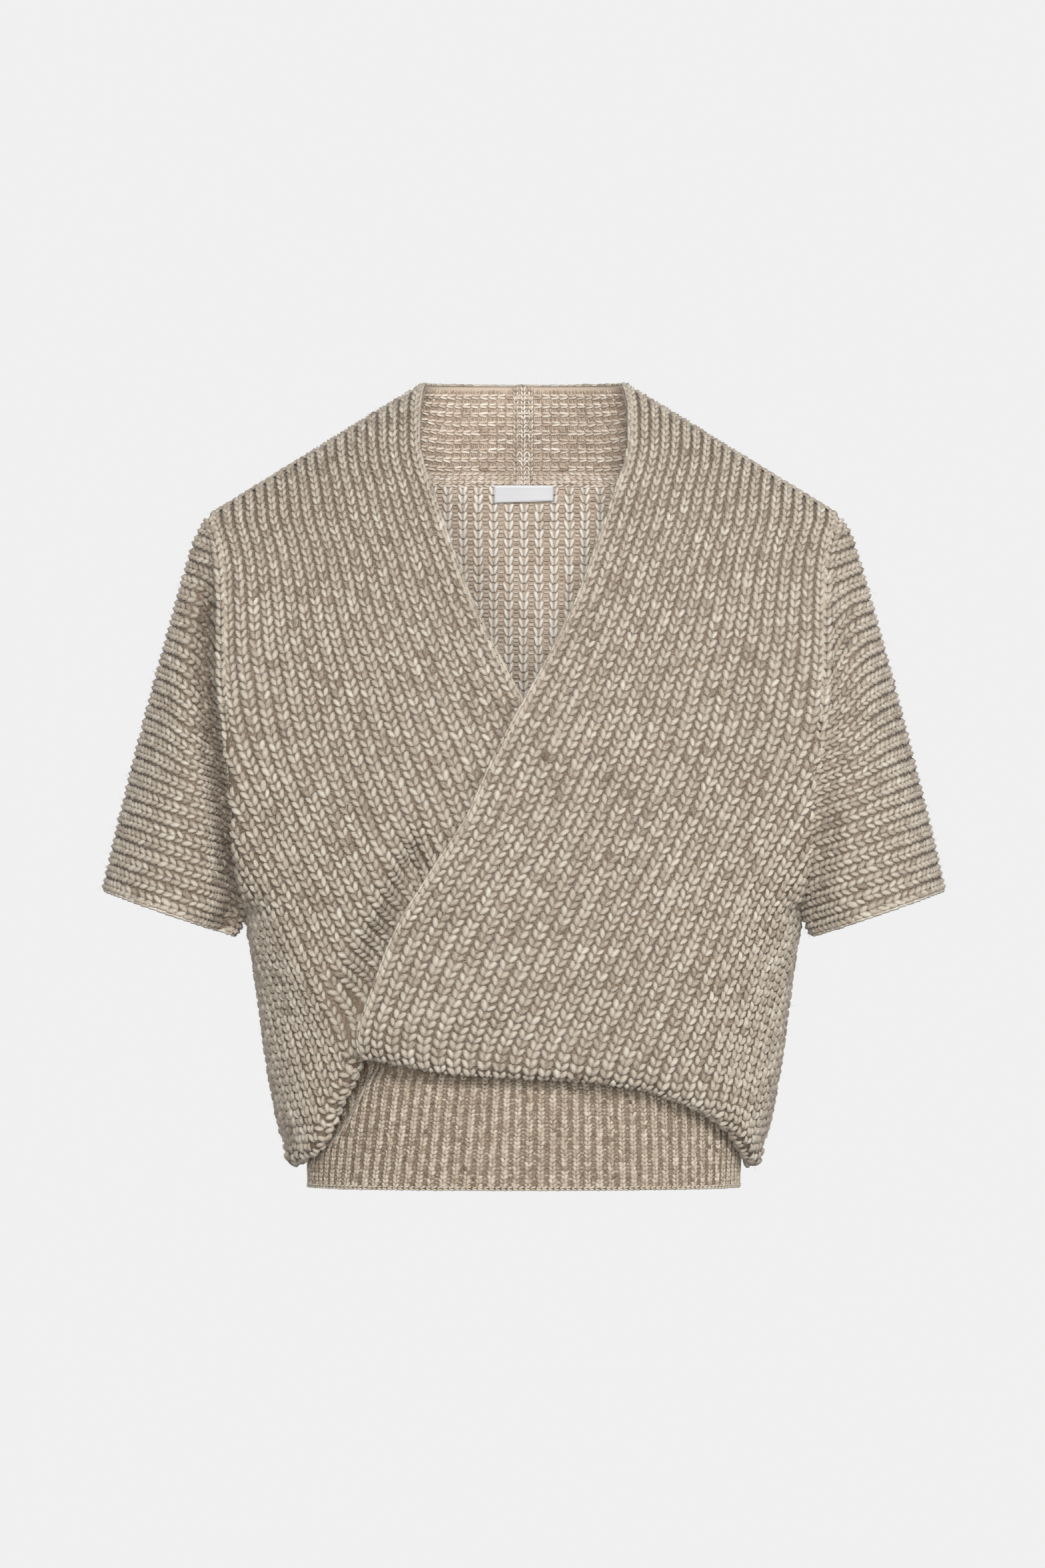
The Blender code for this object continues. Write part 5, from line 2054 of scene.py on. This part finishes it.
    def seams(self, panel: BodyPanel) -> list[Stitches]:
        """Linked stitches of the right side seam, shoulder seam and back neck seam.

        Args:
            panel: The back.

        Returns:
            One run of stitches a seam.
        """
        side = panel.side_patches[0].points[0]
        x = np.linspace(-TIP_X, -NECK_X, 60)
        shoulder = np.stack([x, np.zeros_like(x), self.form.shoulder_height(x)], axis=1)
        neck = self.form.neck_seam(np.linspace(0.0, COLLAR_STEPS, 60))
        height = self.seam.height
        return [
            linked(side, (0.0, 1.0, 0.0), -1.0, height),
            linked(shoulder, (0.0, 1.0, 0.0), -1.0, height),
            linked(neck, (0.0, 0.0, 1.0), 1.0, height),
        ]

    def collar_middle(self) -> Stitches:
        """Linked stitches where the two half collars meet behind the neck."""
        ends = np.array([float(COLLAR_STEPS)])
        share = np.linspace(0.0, 1.0, 30)[:, None]
        line = mix(self.form.neck_seam(ends)[0], self.form.collar_edge(ends)[0], share)
        return linked(line, (1.0, 0.0, 0.0), -1.0, self.seam.height)

    def seam_strip(self) -> bpy.types.Object:
        """The turned-in edges of the collar's middle seam.

        Returns:
            The piece.
        """
        height = np.linspace(0.0, 1.0, 15)
        seam = self.form.neck_seam(np.array([float(COLLAR_STEPS)]))[0]
        edge = self.form.collar_edge(np.array([float(COLLAR_STEPS)]))[0]
        line = mix(seam, edge, height[:, None]) + np.array([0.0, -self.strip_stand, 0.0])
        tones = self.tones.seam_strip
        xs = np.linspace(*self.strip_ends, 2 * len(tones) + 1)
        points = np.stack([line + np.array([x, 0.0, 0.0]) for x in xs])
        patch = Patch(points, 0, 1.0)
        yarn = Yarn(Seed.COLLAR_SEAM, stitch_tone=0.13)
        for row, tone in enumerate(tones):
            lot = walk(patch, 2 * row + 1, self.strip.height, narrow=self.strip_narrow)
            yarn.legs(lot, self.strip, tone=tone)
        return yarn.build("collar_seam", Side.RIGHT, self.inner_wool, "rib_knit")

    def sleeve(self, side: Side) -> None:
        """One sleeve with its stitches and cuff edge."""
        name = "sleeve_right" if side is Side.RIGHT else "sleeve_left"
        deep = 0.034 if side is Side.RIGHT else 0.009
        area = 0.070 if side is Side.RIGHT else 0.062
        sleeve = Sleeve(name, self.form, side, cut=(0.42, 0.25, area), dip=deep, creases=(
            Crease((-0.275, -0.270), (-0.225, -0.290), 0.014, 0.0016),
            Crease((-0.265, -0.220), (-0.225, -0.235), 0.013, -0.0014),
            Crease((-0.245, -0.160), (-0.220, -0.180), 0.013, 0.0013),
        ))
        cloth = sleeve.build(self.ground)
        lot = sleeve.ribs(self.rib.height)
        seed = Seed.SLEEVE_RIGHT if side is Side.RIGHT else Seed.SLEEVE_LEFT
        yarn = Yarn(seed)
        # Painted shade: the yarn is made browner in the fold between sleeve and body, standing in
        # for part of the shade there.
        brown = sleeve.dip * self.fold_painted_shade * sleeve.fold_share(lot.place)
        yarn.legs(lot, self.rib, tone=self.tones.sleeve - brown[:, None])
        yarn.legs(sleeve.armhole_seam(self.rib.height), self.rib, tone=self.tones.linked)
        stitches = yarn.build(name + "_stitches", side, self.body_wool, "rib_knit")
        cuff = Yarn(Seed.CUFF)
        edge = walk(sleeve.patch, 0, self.chain.height)
        edge.half_width[:] = self.cuff_half_width
        edge.place += edge.across * self.edge_tuck
        cuff.legs(edge, self.chain, tone=self.tones.cuff)
        cuff_edge = cuff.build(name + "_cuff_edge", side, self.body_wool, "rib_knit")
        fibres = Fibres(seed + FIBRE_SEED_STEP).build(
            name + "_fibres", lot, self.sleeve_fibres, side, self.fibre)
        width, length, area = sleeve.cut

    def waistband(self) -> None:
        """The waistband with its fine ribs, purl valleys and cast-off edge."""
        band = Waistband(self.form, cut=(0.84, 0.120, 0.1008))
        cloth = band.build(self.ground)
        ribs = Yarn(Seed.BAND_RIB, patch_tone=0.11, stitch_tone=0.13)
        plain = band.columns(1, self.fine.height, self.band_rib_narrow)
        ribs.legs(plain, self.fine, tone=self.tones.band_rib)
        stitches = ribs.build("waistband_stitches", Side.RIGHT, self.band_wool, "fine_rib")
        purls = Yarn(Seed.BAND_PURL, patch_tone=0.10, stitch_tone=0.14)
        bumps = band.columns(0, self.purl.height, self.band_purl_narrow)
        purls.legs(bumps, self.purl, legs=(0,), tone=self.tones.band_purl)
        valleys = purls.build("waistband_purls", Side.RIGHT, self.band_wool, "fine_rib")
        hem = Yarn(Seed.HEM)
        lot = band.hem(self.hem_chain.height)
        lot.half_width[:] = self.hem_half_width
        hem.legs(lot, self.hem_chain, tone=self.tones.hem)
        edge = hem.build("waistband_edge", Side.RIGHT, self.band_wool, "fine_rib")

    def label(self) -> None:
        """The bare woven tab."""
        tape = Label(self.form).build(self.tape)


def panel_shows(lot: Stitches, form: BodyForm, covered: float = 0.022) -> Array:
    """Which stitches of the right front lie clear of the left front over them.

    Args:
        lot: The stitches.
        form: Form of the body.
        covered: How far behind the left front's edge they are still knitted.

    Returns:
        True for each that shows.
    """
    return lot.place[:, 0] < form.front_edge(lot.place[:, 2]) + covered


def right_front(form: BodyForm) -> BodyPanel:
    """The front that lies under."""
    folds = (
        (0.0, -0.529), (0.15, -0.526), (0.26, -0.519), (0.33, -0.501), (0.38, -0.484),
        (0.43, -0.470), (0.46, -0.456), (0.485, -0.447), (0.52, -0.4465), (0.78, -0.457),
        (1.00, -0.460), (1.14, -0.462), (1.37, -0.469), (1.50, -0.477), (2.0, -0.480),
    )
    return BodyPanel("front_right", form, Face.FRONT, Side.RIGHT, folds, cut=(0.38, 0.74, 0.158),
                     rib_slants=((-0.56, 0.172), (-0.45, 0.117), (-0.34, 0.056), (-0.28, 0.027),
                                 (-0.215, 0.0)),
                     under=0.0034, lap_more=0.0035, creases=(
                         Crease((-0.195, -0.306), (-0.130, -0.436), 0.013, 0.0035),
                         Crease((-0.076, -0.302), (-0.124, -0.426), 0.0130, -0.0300),
                         Crease((-0.137, -0.410), (-0.120, -0.452), 0.010, 0.0035),
                         Crease((-0.190, -0.395), (-0.150, -0.455), 0.012, -0.0025),
                         Crease((-0.205, -0.120), (-0.206, -0.335), 0.013, 0.0040),
                         Crease((-0.165, -0.180), (-0.120, -0.300), 0.020, -0.0025),
                         Crease((-0.110, -0.110), (-0.085, -0.240), 0.022, 0.0025),
                     ))


def left_front(form: BodyForm) -> BodyPanel:
    """The front that wraps over."""
    folds = (
        (0.0, -0.529), (0.12, -0.525), (0.27, -0.506), (0.40, -0.491), (0.50, -0.483),
        (0.63, -0.475), (0.86, -0.4685), (1.00, -0.467), (1.22, -0.464), (1.50, -0.453),
        (2.0, -0.453),
    )
    return BodyPanel("front_left", form, Face.FRONT, Side.LEFT, folds, cut=(0.38, 0.74, 0.158),
                     rib_slants=((-0.56, 0.160), (-0.45, 0.113), (-0.34, 0.060), (-0.28, 0.030),
                                 (-0.215, 0.0)),
                     over=0.004, creases=(
                         Crease((-0.105, -0.440), (0.010, -0.395), 0.016, 0.0042),
                         Crease((-0.060, -0.455), (0.060, -0.430), 0.012, -0.0040),
                         Crease((0.150, -0.360), (0.100, -0.450), 0.018, 0.0030),
                         Crease((0.185, -0.380), (0.160, -0.470), 0.014, -0.0025),
                         Crease((0.208, -0.130), (0.209, -0.330), 0.012, 0.0030),
                         Crease((0.120, -0.120), (0.060, -0.290), 0.022, -0.0025),
                         Crease((0.030, -0.200), (-0.060, -0.350), 0.020, 0.0025),
                         Crease((0.160, -0.210), (0.130, -0.330), 0.018, -0.0020),
                     ))


def back_panel(form: BodyForm) -> BodyPanel:
    """The whole back."""
    folds = (
        (0.0, -0.529), (0.15, -0.525), (0.40, -0.513), (0.70, -0.504), (1.0, -0.500),
        (1.3, -0.504), (1.6, -0.513), (1.85, -0.525), (2.0, -0.529),
    )
    return BodyPanel("back", form, Face.BACK, Side.RIGHT, folds, cut=(0.52, 0.60, 0.264), creases=(
        Crease((-0.190, -0.300), (-0.090, -0.420), 0.020, 0.0040),
        Crease((-0.185, -0.350), (-0.070, -0.470), 0.016, -0.0045),
        Crease((0.192, -0.290), (0.100, -0.400), 0.018, 0.0040),
        Crease((0.188, -0.335), (0.085, -0.455), 0.015, -0.0050),
        Crease((-0.060, -0.440), (0.050, -0.460), 0.014, -0.0040),
        Crease((0.010, -0.415), (0.110, -0.445), 0.014, 0.0035),
        Crease((-0.205, -0.120), (-0.204, -0.320), 0.012, 0.0035),
        Crease((0.205, -0.120), (0.205, -0.330), 0.012, 0.0035),
        Crease((-0.150, -0.130), (-0.110, -0.280), 0.022, -0.0040),
        Crease((0.155, -0.120), (0.105, -0.290), 0.024, -0.0035),
        Crease((-0.020, -0.120), (-0.035, -0.330), 0.030, 0.0035),
        Crease((0.050, -0.180), (0.030, -0.380), 0.026, -0.0030),
    ))


def main() -> None:
    """Build the sweater and its surroundings."""
    logging.basicConfig(level=logging.INFO, format="%(name)s: %(message)s")
    Sweater().build()
    Studio().build()
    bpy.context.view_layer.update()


if __name__ == "__main__":
    main()
